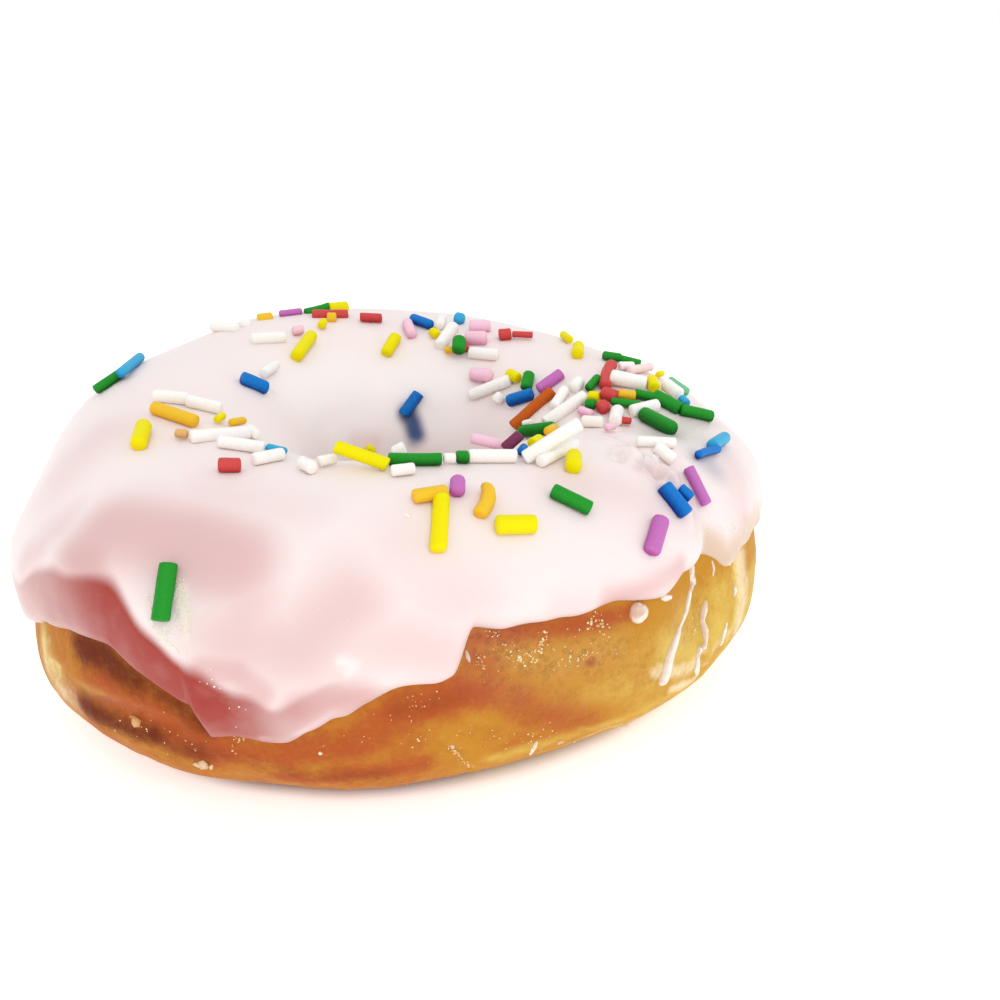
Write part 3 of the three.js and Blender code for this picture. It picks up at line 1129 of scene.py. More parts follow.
def icing_masks(points, azimuth, run, edge_distance, brow_painted_shade, carrier):
    """Where the icing has deep pink painted shade, pinker painted shade, painted highlight, is
    thin, sugared, wet or dyed, from 0 to 1.
    """
    deep = np.maximum(brow_painted_shade, patch_mask(points, DEEP_SHADE_PATCHES, carrier))
    # Darker pink along the rounded lower edge: partly painted shade, partly dough through the thin
    # edge.
    rim = RIM["strength"] * np.exp(-edge_distance / RIM["reach"])
    rim = rim * smooth(azimuth, *RIM["azimuths"])
    near_edge = 1 - smooth(run, *SEE_THROUGH["runs"])
    sugar = patch_mask(points, SUGAR_PATCHES, carrier)
    dye = patch_mask(points, DYE_STAINS, carrier)
    return {
        "deep": np.clip(deep + rim, 0, 1),
        "flush": patch_mask(points, SHADE_PINK_PATCHES, carrier),
        "bright": patch_mask(points, PAINTED_HIGHLIGHT_PATCHES, carrier),
        "thin": span(azimuth, *SEE_THROUGH["stretch"]) * near_edge,
        "sugar": smooth(sugar, *SUGAR_STRENGTHS),
        "wet": patch_mask(points, WET_PATCHES, carrier),
        "dye": smooth(dye, *DYE_STRENGTHS),
    }


def icing_edges(azimuths, ragged, settings):
    """Height of the lower edge, its turn, and the turn where the icing ends in the hole.

    The lower edge ripples all round, and has small lumps where it is ragged.
    """
    foot = ring_point(azimuths, OUTER_RADIUS, 0.0)
    hole = ring_point(azimuths, HOLE_RADIUS, 0.0)
    edge = edge_height(azimuths) + settings.ripple * noise(foot, RIPPLE_SIZE, RIPPLE_SEED)
    edge = edge + ragged * unevenness(foot, EDGE_LUMPS)
    start = turn_at_height(azimuths, edge)
    return edge, start, hole_edge_turn(azimuths) + unevenness(hole, HOLE_RIPPLE)


def make_icing(settings, dough_settings):
    """The poured cap: a closed shell over the dough, thick at the brow and rounded at its edge.

    Rows run up the outer face from the lower edge into the hole and back underneath.
    """
    azimuths = ring_columns()
    ragged = span(azimuths, *EDGE_LUMP_STRETCH)
    edge, start, end = icing_edges(azimuths, ragged, settings)
    outer = np.linspace(0, 1, ICING_ROWS) ** ROW_CROWDING
    under = np.linspace(1, 0, ICING_UNDER_ROWS + 2)[1:-1]
    share = np.concatenate((outer, under))
    azimuth = np.repeat(azimuths[:, None], len(share), 1)
    turn = start[:, None] + (end - start)[:, None] * share
    section = ring_point(azimuth, *dough_section(azimuth, turn))
    base = swelling(section, azimuth, turn, dough_settings)
    outward = section_outward(azimuth, turn)
    half = ring_sizes(azimuth)[1]
    run = np.radians(turn - start[:, None]) * half
    to_hole = np.radians(end[:, None] - turn) * half
    edge_distance = np.minimum(icing_edge_distance(azimuth, base[..., 2], edge), run)
    edge_distance = np.where(turn < TOP_TURN, edge_distance, run)
    lip = settings.lip * (1 - SHARP_LIP["less"] * span(azimuth, *SHARP_LIP["stretch"]))
    shape = rounded_edge(edge_distance, lip) * rounded_edge(to_hole, HOLE_LIP)
    carrier = cad_carrier("icing")
    brow = Brow(carrier, cad_carrier("dough"))
    wall_height = np.where(turn < TOP_TURN, base[..., 2], RING_HEIGHT)
    body = icing_thickness(azimuth, wall_height, run, brow, settings)
    body = body + icing_relief(base, run)
    poured = base + (body * shape)[..., None] * outward
    for pixels, half_width, depth in ICING_LINES:
        body = body - depth * line_bell(poured, pixels, half_width, carrier)
    pixels, half_width, depth = FLAKES
    body = body + depth * line_bell(poured, pixels, half_width, carrier) * flakes(base)
    lumpy = ragged[:, None] * np.exp(-run / EDGE_LUMP_REACH)
    body = body + lumpy * unevenness(base, FACE_LUMPS)
    on_top = np.arange(len(share)) < ICING_ROWS
    offset = np.where(on_top, -SINK + (body + SINK) * shape, -SINK - UNDERSIDE * shape)
    points = base + offset[..., None] * outward
    faces = grid_faces(*azimuth.shape)
    brow_painted_shade = brow.shade(azimuth, wall_height)
    masks = icing_masks(poured, azimuth, run, edge_distance, brow_painted_shade, carrier)
    material = icing_material(settings)
    piece = add_piece("icing_cap", points.reshape(-1, 3), faces, material, masks)
    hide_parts("icing")


# ---- Sprinkles ------------------------------------------------------------------------

# Colour on the side in painted light, and the share of its red, green and blue that is left on the
# side in painted shade.
SPRINKLE_COLOURS = {
    "white": ((252, 250, 246), (0.98, 0.94, 0.89)),
    "yellow": ((240, 230, 4), (0.97, 0.86, 0.7)),
    "green": ((38, 150, 46), (0.22, 0.34, 0.3)),
    "mint": ((128, 200, 156), (0.4, 0.75, 0.6)),
    "blue": ((26, 122, 204), (0.12, 0.11, 0.4)),
    "cyan": ((60, 174, 218), (0.45, 0.55, 0.75)),
    "purple": ((198, 116, 188), (0.75, 0.45, 0.68)),
    "plum": ((126, 60, 90), (0.7, 0.6, 0.65)),
    "pink": ((248, 206, 224), (0.86, 0.6, 0.7)),
    "blush": ((250, 228, 226), (0.94, 0.8, 0.8)),
    "red": ((210, 80, 78), (0.8, 0.42, 0.42)),
    "orange": ((240, 196, 52), (0.96, 0.8, 0.42)),
    "rust": ((202, 98, 30), (0.75, 0.7, 0.6)),
    "tan": ((228, 182, 118), (0.8, 0.7, 0.6)),
}
# Direction of the painted light: rod faces turned to it get the lit colour, the others the painted
# shade.
PAINTED_LIGHT_SIDE = np.array((0.35, -0.25, 0.9))
ROD_RADII = (0.45, 1.02)  # mm
ROD_LONGEST = 7.8  # mm
ROD_SHORTEST = 1.3  # mm
ROD_AROUND = 12
# Rings of a rod's end: share of the radius, and share of the end's length from the tip.
ROD_END_RINGS = ((0.74, 0.0), (0.94, 0.3), (1.0, 1.0))
ROD_END_LENGTH = 0.35  # radii over which an end is rounded
ROD_END_DOME = 0.08  # radii by which the middle of an end stands out
ROD_MIDDLE_SHARES = (0.33, 0.67)
ROD_UNEVEN = 0.01  # share by which the radius of a rod's rings varies
ROD_SKEW = 0.05  # slope by which a rod's ends and rings lie askew
ROD_RING_PITCH = 0.34  # mm between the faint rings along a rod
ROD_REST = 0.9  # height of the axes over the icing, as a share of the largest radius
ROD_PASSES = 3  # to find how far the axis ends lie inside the rims that show
LARGEST_INSET = 0.25  # share of a rod's length in the picture
LARGEST_CORE_INSET = 0.45  # share of a rod's length in mm
LARGEST_DEPTH_STEP = 7.0  # mm between a rod's ends, seen from the camera
LARGEST_SLOPE_STEP = 16.0  # mm: further behind, the carrier lies across a gap
LARGEST_SEARCH = 26  # pixels down the picture to where the carrier shows
SEARCH_STEP = 2  # pixels
LARGEST_RISE = 4.0  # pixels that a rod may stand over the carrier's outline
LARGEST_LIFT = 2.4  # mm by which a rod moves to lie on others
LIFT_STEP = 0.12  # mm
LARGEST_OVERLAP = 0.35  # mm by which a rod may press into others without being moved
GAP_SAMPLES = 17  # points along a rod where its gap from others is measured
LARGEST_EXCESS = 0.03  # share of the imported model's height that rods may stand over it

# Rods by pixel, lower ones of a pile first: colour, one end, other end and width, and for a
# bent one how far its middle stands to the side, in mm. An end counts to the rod's rim.
BACK_RODS = (
    ("white", 208, 323, 241, 326, 11), ("white", 238, 320, 252, 321, 11),
    ("orange", 256, 315, 273, 313, 13), ("purple", 278, 312, 303, 309, 7),
    ("green", 304, 309, 330, 298, 9, 0.3), ("yellow", 327, 303, 349, 301, 12),
    ("red", 312, 312, 348, 312, 11), ("orange", 327, 316, 336, 316, 11),
    ("yellow", 319, 328, 326, 319, 8), ("pink", 291, 331, 305, 329, 9),
    ("yellow", 293, 361, 315, 331, 13), ("white", 249, 338, 287, 336, 12),
    ("white", 260, 376, 280, 362, 10), ("blue", 240, 377, 269, 389, 14),
    ("red", 360, 317, 382, 318, 9), ("yellow", 384, 357, 398, 333, 12),
    ("pink", 405, 318, 414, 339, 11), ("blue", 409, 317, 434, 326, 10),
    ("white", 437, 330, 444, 314, 10), ("yellow", 431, 331, 438, 335, 9),
    ("white", 437, 350, 456, 322, 13), ("cyan", 453, 317, 466, 320, 12),
    ("orange", 446, 350, 453, 350, 7), ("red", 462, 342, 467, 352, 8),
    ("green", 460, 334, 458, 356, 14), ("pink", 464, 338, 488, 338, 16),
    ("pink", 469, 326, 491, 326, 12), ("white", 467, 352, 500, 355, 12),
    ("red", 498, 335, 512, 334, 12), ("red", 512, 334, 533, 335, 6),
    ("yellow", 560, 332, 573, 342, 8), ("yellow", 579, 341, 577, 359, 12),
)
LEFT_RODS = (
    ("green", 94, 391, 124, 371, 10), ("cyan", 117, 376, 144, 354, 10),
    ("white", 152, 395, 190, 399, 13), ("white", 185, 400, 223, 409, 13),
    ("orange", 149, 406, 200, 423, 14), ("yellow", 146, 418, 136, 452, 17),
    ("yellow", 214, 421, 226, 414, 8), ("tan", 177, 433, 186, 434, 9),
    ("orange", 228, 423, 247, 420, 8), ("white", 188, 437, 252, 432, 14),
    ("white", 217, 441, 266, 448, 13), ("white", 246, 425, 260, 438, 10),
    ("cyan", 266, 447, 287, 452, 6), ("white", 250, 460, 286, 453, 13),
    ("red", 217, 465, 242, 465, 15),
)
RIM_RODS = (
    ("white", 316, 462, 338, 458, 11), ("white", 296, 459, 318, 471, 14),
    ("white", 393, 453, 405, 447, 13), ("green", 388, 459, 442, 459, 13, 0.15),
    ("yellow", 334, 446, 389, 465, 14), ("yellow", 367, 447, 374, 452, 8),
    ("white", 390, 471, 416, 468, 12), ("blue", 403, 415, 419, 393, 12),
    ("white", 443, 458, 456, 458, 10), ("green", 455, 457, 470, 457, 13),
    ("pink", 471, 438, 506, 446, 11), ("white", 467, 456, 518, 456, 14),
)
CLUSTER_RODS = (
    ("pink", 468, 374, 494, 376, 15), ("white", 495, 402, 503, 394, 12),
    ("white", 468, 396, 512, 379, 12), ("yellow", 505, 372, 522, 380, 11),
    ("green", 530, 370, 525, 392, 12), ("purple", 537, 391, 563, 372, 12),
    ("blue", 505, 402, 535, 393, 13), ("white", 552, 410, 567, 386, 11),
    ("white", 570, 392, 583, 377, 13), ("rust", 512, 427, 553, 390, 12),
    ("green", 586, 391, 600, 375, 9), ("yellow", 590, 396, 598, 397, 11),
    ("green", 586, 404, 595, 404, 10), ("white", 543, 424, 587, 394, 13),
    ("red", 600, 392, 620, 398, 14), ("red", 613, 359, 604, 392, 13, 0.25),
    ("red", 597, 410, 609, 404, 14), ("plum", 504, 449, 521, 434, 12),
    ("blue", 519, 454, 526, 445, 9), ("white", 523, 424, 532, 422, 7),
    ("green", 517, 432, 558, 427, 13), ("orange", 545, 433, 558, 426, 10),
    ("yellow", 528, 446, 544, 437, 12), ("pink", 577, 409, 594, 415, 9),
    ("white", 580, 421, 605, 422, 12), ("white", 536, 464, 580, 441, 13),
    ("yellow", 574, 449, 573, 474, 17), ("white", 524, 457, 581, 421, 15),
)
RIGHT_RODS = (
    ("green", 602, 355, 622, 358, 9), ("green", 620, 358, 641, 363, 4),
    ("white", 617, 366, 636, 366, 9), ("blush", 625, 371, 655, 366, 9),
    ("orange", 617, 394, 636, 396, 10), ("white", 609, 376, 647, 384, 15),
    ("yellow", 650, 375, 656, 392, 12), ("yellow", 656, 375, 664, 373, 5),
    ("green", 634, 393, 656, 398, 10), ("white", 662, 381, 683, 397, 13),
    ("mint", 667, 379, 689, 394, 10), ("cyan", 679, 396, 689, 406, 9),
    ("green", 652, 394, 682, 410, 14), ("green", 678, 409, 715, 417, 12),
    ("red", 622, 420, 630, 421, 5), ("pink", 604, 428, 617, 425, 6),
    ("green", 611, 401, 641, 405, 8), ("white", 619, 404, 614, 427, 14),
    ("white", 628, 412, 661, 404, 13), ("green", 638, 411, 678, 432, 16),
    ("white", 635, 441, 677, 443, 11), ("white", 655, 445, 675, 461, 13),
    ("blue", 694, 456, 722, 448, 9, -0.2), ("cyan", 707, 449, 730, 434, 13),
    ("purple", 688, 467, 707, 505, 12), ("blue", 679, 487, 692, 499, 12),
    ("blue", 663, 485, 687, 515, 17), ("purple", 663, 514, 650, 557, 18),
)
FRONT_RODS = (
    ("orange", 411, 497, 449, 491, 15), ("purple", 458, 473, 457, 499, 16),
    ("yellow", 442, 491, 438, 555, 18), ("orange", 489, 482, 478, 519, 16, -0.45),
    ("yellow", 493, 525, 539, 524, 20), ("green", 552, 490, 591, 509, 16),
    ("green", 169, 561, 160, 623, 19),
)
SEEN_RODS = (
    *BACK_RODS, *LEFT_RODS, *RIM_RODS, *CLUSTER_RODS, *RIGHT_RODS, *FRONT_RODS,
)
# Where the camera doesn't see: azimuths, turns round the section and number of rods.
UNSEEN_REGIONS = (((28, 152), (18, 66), 34), ((6, 28), (20, 46), 5), ((-150, -30), (128, 168), 5))
UNSEEN_COLOURS = (
    "white", "yellow", "green", "blue", "purple", "pink", "red", "orange", "white",
)
UNSEEN_LENGTHS = (4.6, 6.4)  # mm
UNSEEN_RADII = (0.84, 0.98)  # mm
UNSEEN_GAP = 0.1  # mm at least between an unseen rod and any other
UNSEEN_DROP = 4.0  # mm over the dough, from where a rod comes down on the icing
UNSEEN_SEED = 7
UNSEEN_TRIES = 60
SHAPE_SEED = 8  # of the unevenness of every rod


class Rod:
    """One sprinkle: its two ends in mm, radius, colour and how far its middle stands aside."""

    def __init__(self, colour, start, end, radius, bend=0.0):
        self.colour = colour
        self.start = start
        self.end = end
        self.radius = radius
        self.bend = bend

    def core(self):
        """Both ends drawn in by the radius: balls along this line lie inside the rod."""
        axis = self.end - self.start
        inset = min(self.radius / np.linalg.norm(axis), LARGEST_CORE_INSET) * axis
        return self.start + inset, self.end - inset


def rod_gap(first, second):
    """Distance between the surfaces of two rods, and the share along the first where it is."""
    shares = np.linspace(0, 1, GAP_SAMPLES)
    start, end = first.core()
    distance = line_distance(start + shares[:, None] * (end - start), np.array(second.core()))
    nearest = int(np.argmin(distance))
    return distance[nearest] - first.radius - second.radius, shares[nearest]


def depth_of(points):
    """Distance of points from the camera along its view, in mm."""
    return (points - CAMERA_PLACE) @ camera_axes()[0]


def end_on(carrier, pixel):
    """Pixel and depth of a rod's end on the carrier.

    Where the ray passes over the outline, the depth is the outline's, and the end comes down
    until it stands only a little over it.
    """
    for drop in range(0, LARGEST_SEARCH, SEARCH_STEP):
        hit = carrier.ray(pixel + np.array((0.0, drop)))
        if hit is not None:
            return pixel + np.array((0.0, max(drop - LARGEST_RISE, 0.0))), depth_of(hit[0])
    raise ValueError(f"a rod's end at {tuple(pixel)} is off the icing")


def reachable_step(step, room):
    """How far behind its nearer end a rod's other end lies, when the carrier is step behind.

    It stays on the carrier where that isn't far, and goes as far as the room that the rod's
    length leaves on a long slope. Across a gap, such as the hole, it stays level with the first.
    """
    if step <= LARGEST_DEPTH_STEP:
        return step
    return room if step <= LARGEST_SLOPE_STEP else 0.0


def seen_rod(carrier, colour, x1, y1, x2, y2, width, bend=0.0):
    """A rod whose ends show at two pixels, lying on the carrier.

    The ends are read at the rod's rim, so each axis end lies half a width times the cosine of
    the angle between rod and view inside it. A rod that comes out too long is shortened.
    """
    pixels = np.array(((x1, y1), (x2, y2)), float)
    view = pixel_rays(pixels.mean(0))
    run = pixels[1] - pixels[0]
    length = np.linalg.norm(run)
    inset = 0.0
    for _ in range(ROD_PASSES):
        inner = pixels + np.array((inset, -inset))[:, None] * run / length
        places, depths = zip(*(end_on(carrier, pixel) for pixel in inner))
        nearer = min(depths)
        room = math.sqrt(max(ROD_LONGEST**2 - (length * nearer / FOCAL_LENGTH) ** 2, 0.0))
        depths = [nearer + reachable_step(depth - nearer, room) for depth in depths]
        ends = CAMERA_PLACE + pixel_rays(np.array(places)) * np.array(depths)[:, None]
        axis = ends[1] - ends[0]
        facing = abs(axis @ view) / (np.linalg.norm(axis) * np.linalg.norm(view))
        inset = min(width / 2 * facing, LARGEST_INSET * length)
    radius = float(np.clip(width * nearer / FOCAL_LENGTH / 2, *ROD_RADII))
    share = min(1.0, ROD_LONGEST / np.linalg.norm(axis))
    middle = ends.mean(0)
    ends = middle + (ends - middle) * share
    return Rod(colour, ends[0], ends[1], radius, bend)


def lift_clear(rod, others):
    """Moves a rod towards the camera until it lies on the earlier ones.

    The nearer one of its ends is to where it presses into them, the more that end moves.
    """
    for _ in range(round(LARGEST_LIFT / LIFT_STEP)):
        gap, share = min([rod_gap(rod, other) for other in others], default=(0.0, 0.0))
        if gap > -LARGEST_OVERLAP:
            return
        weights = (min(1, 2 * (1 - share)), min(1, 2 * share))
        to_camera = CAMERA_PLACE - (rod.start + rod.end) / 2
        to_camera = to_camera / np.linalg.norm(to_camera)
        rod.start = rod.start + LIFT_STEP * weights[0] * to_camera
        rod.end = rod.end + LIFT_STEP * weights[1] * to_camera


def press_in(rod):
    """Lowers a rod that would stand over the highest level, as if it sank into the icing."""
    highest = CAD_BOX[1][2] / MM * (1 + LARGEST_EXCESS)
    excess = max(rod.start[2], rod.end[2]) + rod.radius - highest
    if excess > 0:
        rod.start = rod.start - (0, 0, excess)
        rod.end = rod.end - (0, 0, excess)


def is_hidden(surface, rod):
    """Whether the surface hides both ends of a rod from the camera."""
    for end in (rod.start, rod.end):
        sight = Vector(end + (0, 0, 2 * rod.radius)) - Vector(CAMERA_PLACE)
        place, _, _, distance = surface.tree.ray_cast(Vector(CAMERA_PLACE), sight.normalized())
        if place is None or distance > sight.length - 2 * rod.radius:
            return False
    return True


def strewn_rod(surface, azimuths, turns, draw):
    """A rod of any colour and direction on the surface, between two azimuths and two turns."""
    azimuth, turn = draw.uniform(*azimuths), draw.uniform(*turns)
    colour = UNSEEN_COLOURS[draw.integers(len(UNSEEN_COLOURS))]
    length, angle = draw.uniform(*UNSEEN_LENGTHS), draw.uniform(0, math.pi)
    outward = section_outward(azimuth, turn)
    around = np.array((-sine(azimuth), cosine(azimuth), 0.0))
    up = np.cross(outward, around)
    half = (around * math.cos(angle) + up * math.sin(angle)) * length / 2
    middle = ring_point(azimuth, *dough_section(azimuth, turn)) + UNSEEN_DROP * outward
    ends = [surface.nearest(middle + side * half)[0] for side in (-1, 1)]
    return Rod(colour, *ends, draw.uniform(*UNSEEN_RADII))


def unseen_rods(surface, others):
    """Rods strewn over the slopes that the camera doesn't see, clear of all others."""
    draw = np.random.default_rng(UNSEEN_SEED)
    made = []
    for azimuths, turns, count in UNSEEN_REGIONS:
        for _ in range(count):
            for _ in range(UNSEEN_TRIES):
                rod = strewn_rod(surface, azimuths, turns, draw)
                clear = all(rod_gap(rod, other)[0] > UNSEEN_GAP for other in others + made)
                if clear and is_hidden(surface, rod):
                    made.append(rod)
                    break
    return made


def rod_faces():
    """Faces of a rod's rings, then of the fans that close its two ends round their middles."""
    rings = 2 * len(ROD_END_RINGS) + len(ROD_MIDDLE_SHARES)
    index = np.arange(rings * ROD_AROUND).reshape(rings, ROD_AROUND)
    following = np.roll(index, -1, 1)
    quads = np.stack((index[:-1], following[:-1], following[1:], index[1:]), -1).reshape(-1, 4)
    first, last = rings * ROD_AROUND, rings * ROD_AROUND + 1
    start_fan = [(first, b, a) for a, b in zip(index[0], following[0])]
    end_fan = [(last, a, b) for a, b in zip(index[-1], following[-1])]
    return [*map(tuple, quads), *start_fan, *end_fan]


def rod_shell(rod, draw):
    """Points, how far each faces the painted light, and distance along of one rod.

    It is a cylinder whose radius shrinks in rings towards its flat ends. Its middle is moved
    aside by bend * (1 - (2 share - 1)^2), and its ends are cut a little askew.
    """
    axis = rod.end - rod.start
    length = max(np.linalg.norm(axis), ROD_SHORTEST)
    axis = axis / np.linalg.norm(axis)
    side = np.cross(axis, (0.0, 0.0, 1.0))
    side = side / np.linalg.norm(side)
    up = np.cross(side, axis)
    middle = (rod.start + rod.end) / 2
    end_radius, end_along = np.array(ROD_END_RINGS).T
    end_along = end_along * ROD_END_LENGTH * rod.radius
    shaft = length * np.array(ROD_MIDDLE_SHARES)
    along = np.concatenate((end_along, shaft, length - end_along[::-1]))
    radius = np.concatenate((end_radius, np.ones(len(shaft)), end_radius[::-1])) * rod.radius
    radius = radius * (1 + ROD_UNEVEN * draw.standard_normal(len(along)))
    aside = rod.bend * (1 - (2 * along / length - 1) ** 2)
    spine = middle + (along - length / 2)[:, None] * axis + aside[:, None] * side
    angle = (np.arange(ROD_AROUND) + draw.uniform()) * 2 * math.pi / ROD_AROUND
    ring = np.cos(angle)[:, None] * side + np.sin(angle)[:, None] * up
    skew = ring @ side * draw.normal(0, ROD_SKEW) + ring @ up * draw.normal(0, ROD_SKEW)
    shell = spine[:, None] + radius[:, None, None] * (ring + skew[:, None] * axis)
    reach = length / 2 + ROD_END_DOME * rod.radius
    tips = middle + np.outer((-reach, reach), axis)
    # Painted light and shade of each point, from how far its face turns to the light.
    upper = PAINTED_LIGHT_SIDE / np.linalg.norm(PAINTED_LIGHT_SIDE)
    tip_lit = np.array((-1, 1)) * (axis @ upper)
    facing = np.concatenate((np.tile(ring @ upper, len(along)), tip_lit))
    distance = np.concatenate((np.repeat(along, ROD_AROUND), (0.0, length)))
    return np.concatenate((shell.reshape(-1, 3), tips)), 0.5 + 0.5 * facing, distance


def make_rods(name, rods, upper, under, draw):
    """All rods of one colour, in one piece."""
    shells = [rod_shell(rod, draw) for rod in rods]
    points, facing, along = (np.concatenate(part) for part in zip(*shells))
    size = len(shells[0][0])
    pattern = rod_faces()
    faces = [
        tuple(corner + size * i for corner in face) for i in range(len(rods)) for face in pattern
    ]
    tones = np.repeat(draw.uniform(size=len(rods)), size)
    # This mask paints light and shade on the rods by the way each face turns.
    masks = {"upper": facing, "along": along, "tone": tones}
    material = sprinkle_material(name, under, upper)
    add_piece("sprinkles_" + name, points, faces, material, masks)


def make_sprinkles(settings):
    """Every rod, seen or not, in one piece for each colour."""
    lifted = piece_carrier("icing_cap", ROD_RADII[1] * ROD_REST - settings.sink)
    rods = []
    for row in SEEN_RODS:
        rod = seen_rod(lifted, *row)
        lift_clear(rod, rods)
        rods.append(rod)
    rods += unseen_rods(lifted, rods)
    for rod in rods:
        press_in(rod)
    draw = np.random.default_rng(SHAPE_SEED)
    # Each colour gets a lit version and a darker version for its painted shade.
    for name, (_, left_in_shade) in SPRINKLE_COLOURS.items():
        upper = tuple(getattr(settings, name))
        under = tuple(value * share for value, share in zip(upper, left_in_shade))
        make_rods(name, [rod for rod in rods if rod.colour == name], upper, under, draw)


# ---- Dried glaze ----------------------------------------------------------------------

# Runs and drops by pixel: how far a run stands up, as a share of its width, and its places
# with their widths in pixels, from its top to its foot.
GLAZE_RUNS = (
    (0.42, ((637, 602, 17), (637, 606, 22), (638, 612, 24), (639, 618, 22), (640, 623, 16))),
    (
        0.26,
        (
            (692, 563, 7), (692, 574, 9), (692, 584, 10), (689, 598, 9), (686, 612, 8),
            (681, 626, 6), (678, 634, 11), (675, 643, 14), (671, 653, 15.5), (667, 668, 16.5),
            (662, 686, 17),
        ),
    ),
    (0.4, ((660, 597, 5), (666, 598, 8), (672, 597, 5))),
    (
        0.3,
        ((706, 600, 4), (704, 611, 8), (702, 621, 6), (705, 631, 8), (706, 641, 5), (703, 650, 8)),
    ),
    (0.25, ((700, 646, 8), (698, 655, 12), (697, 666, 12), (698, 675, 7))),
    (0.35, ((728, 553, 6), (730, 560, 8), (729, 566, 4))),
    (0.35, ((734, 586, 5), (735, 591, 7), (734, 597, 4))),
    (0.3, ((727, 622, 4), (724, 634, 7), (721, 646, 5))),
    (0.4, ((537, 741, 3), (534, 748, 6), (530, 755, 4))),
    (0.3, ((466, 650, 3), (468, 657, 5), (470, 663, 3))),
    (0.3, ((712, 560, 3), (714, 569, 4), (713, 577, 3))),
)
RUN_AROUND = 14
RUN_STEPS = 7  # rings between two places
RUN_DEPTH = 0.15  # how deep a run lies in the surface, in mm
RUN_END = 0.02  # mm by which its end rings are kept from shrinking to a point
NARROWEST_REACH = 0.1  # mm over which the ends round off at least
# The same round the back: azimuths of drips from the icing's edge. Each one's length and
# width lie between two shares of the full ones, and its foot swells to a drop.
BACK_DRIPS = (18, 36, 57, 101, 118, 163, 188)
DRIP_LENGTH = 5.0  # mm
DRIP_LENGTH_SHARES = (0.5, 1.3)
DRIP_WIDTH = 1.1  # mm
DRIP_WIDTH_SHARES = (0.7, 1.1)
DRIP_NECK = 0.75  # share of its width that a drip has above
DRIP_SWELL = 0.7  # and how much more it has at its foot
DRIP_SWELL_SHARES = (0.5, 0.95)  # of its length, between which it swells
DRIP_RISE = 0.35  # how far it stands up, as a share of its width
DRIP_OVERLAP = 0.6  # mm by which it starts above the icing's edge
DRIP_RINGS = 14
DRIP_WANDER = 0.25  # degrees from ring to ring
GLAZE_SEED = 5


def run_shell(points, normals, widths, rise):
    """A run of glaze: half ellipses along a path, rounded off at both ends.

    Across: width / 2 * cos to the side and width * rise * sin away from the surface. Both
    shrink to nothing over half a width at the ends, as sqrt(1 - (1 - d)^2).
    """
    steps = np.linalg.norm(np.diff(points, axis=0), axis=1)
    along = np.concatenate(((0.0,), np.cumsum(steps)))
    end_gap = np.minimum(along, along[-1] - along) + RUN_END
    size = widths * rounded_edge(end_gap, np.maximum(widths / 2, NARROWEST_REACH))
    tangent = np.gradient(points, axis=0)
    side = np.cross(tangent, normals)
    side = side / np.linalg.norm(side, axis=1, keepdims=True)
    angle = np.arange(RUN_AROUND) * 2 * math.pi / RUN_AROUND
    across = np.outer(size / 2, np.cos(angle))
    above = np.outer(size * rise, np.maximum(np.sin(angle), 0))
    below = RUN_DEPTH * np.minimum(np.sin(angle), 0)
    height = above + below - RUN_DEPTH / 2
    sideways = across[..., None] * side[:, None]
    return points[:, None] + sideways + height[..., None] * normals[:, None]


def tube_faces(rings, around):
    """Faces of a row of rings, with one face over each end."""
    index = np.arange(rings * around).reshape(rings, around)
    quads = np.stack(
        (index[:-1], np.roll(index[:-1], -1, 1), np.roll(index[1:], -1, 1), index[1:]), -1
    )
    return [*map(tuple, quads.reshape(-1, 4)), tuple(index[0][::-1]), tuple(index[-1])]


def run_places(carrier, row):
    """Points, normals and widths in mm along a run that is given by pixel."""
    rough = np.array(row, float)
    at = np.linspace(0, len(rough) - 1, (len(rough) - 1) * RUN_STEPS + 1)
    x, y, width = (np.interp(at, np.arange(len(rough)), column) for column in rough.T)
    hits = [carrier.ray(pixel) for pixel in np.stack((x, y), 1)]
    points, normals = (np.array(part) for part in zip(*hits))
    return points, normals, width * depth_of(points) / FOCAL_LENGTH


def drip_places(carrier, azimuth, draw):
    """The same for a drip that runs down from the icing's edge round the back."""
    length = DRIP_LENGTH * draw.uniform(*DRIP_LENGTH_SHARES)
    z = edge_height(azimuth) + DRIP_OVERLAP - np.linspace(0, length, DRIP_RINGS)
    wander = azimuth + np.cumsum(draw.normal(0, DRIP_WANDER, DRIP_RINGS))
    path = ring_point(wander, *dough_section(wander, turn_at_height(wander, z)))
    points, normals = (np.array(part) for part in zip(*map(carrier.nearest, path)))
    swell = DRIP_SWELL * smooth(np.linspace(0, 1, DRIP_RINGS), *DRIP_SWELL_SHARES)
    width = DRIP_WIDTH * draw.uniform(*DRIP_WIDTH_SHARES) * (DRIP_NECK + swell)
    return points, normals, width


def make_glaze():
    """Thin glaze that ran down the wall and dried: every run and drop, in one piece."""
    wall = piece_carrier("dough_ring")
    draw = np.random.default_rng(GLAZE_SEED)
    runs = [(rise, run_places(wall, row)) for rise, row in GLAZE_RUNS]
    runs += [(DRIP_RISE, drip_places(wall, azimuth, draw)) for azimuth in BACK_DRIPS]
    points, faces, offset = [], [], 0
    for rise, (places, normals, widths) in runs:
        shell = run_shell(places, normals, widths, rise)
        points.append(shell.reshape(-1, 3))
        for face in tube_faces(len(shell), RUN_AROUND):
            faces.append(tuple(corner + offset for corner in face))
        offset += shell.shape[0] * RUN_AROUND
    material = glaze_material()
    add_piece("glaze_runs", np.concatenate(points), faces, material)


# ---- Sugar and crumbs -----------------------------------------------------------------

SUGAR_SEED = 15
CRUMB_SEED = 25

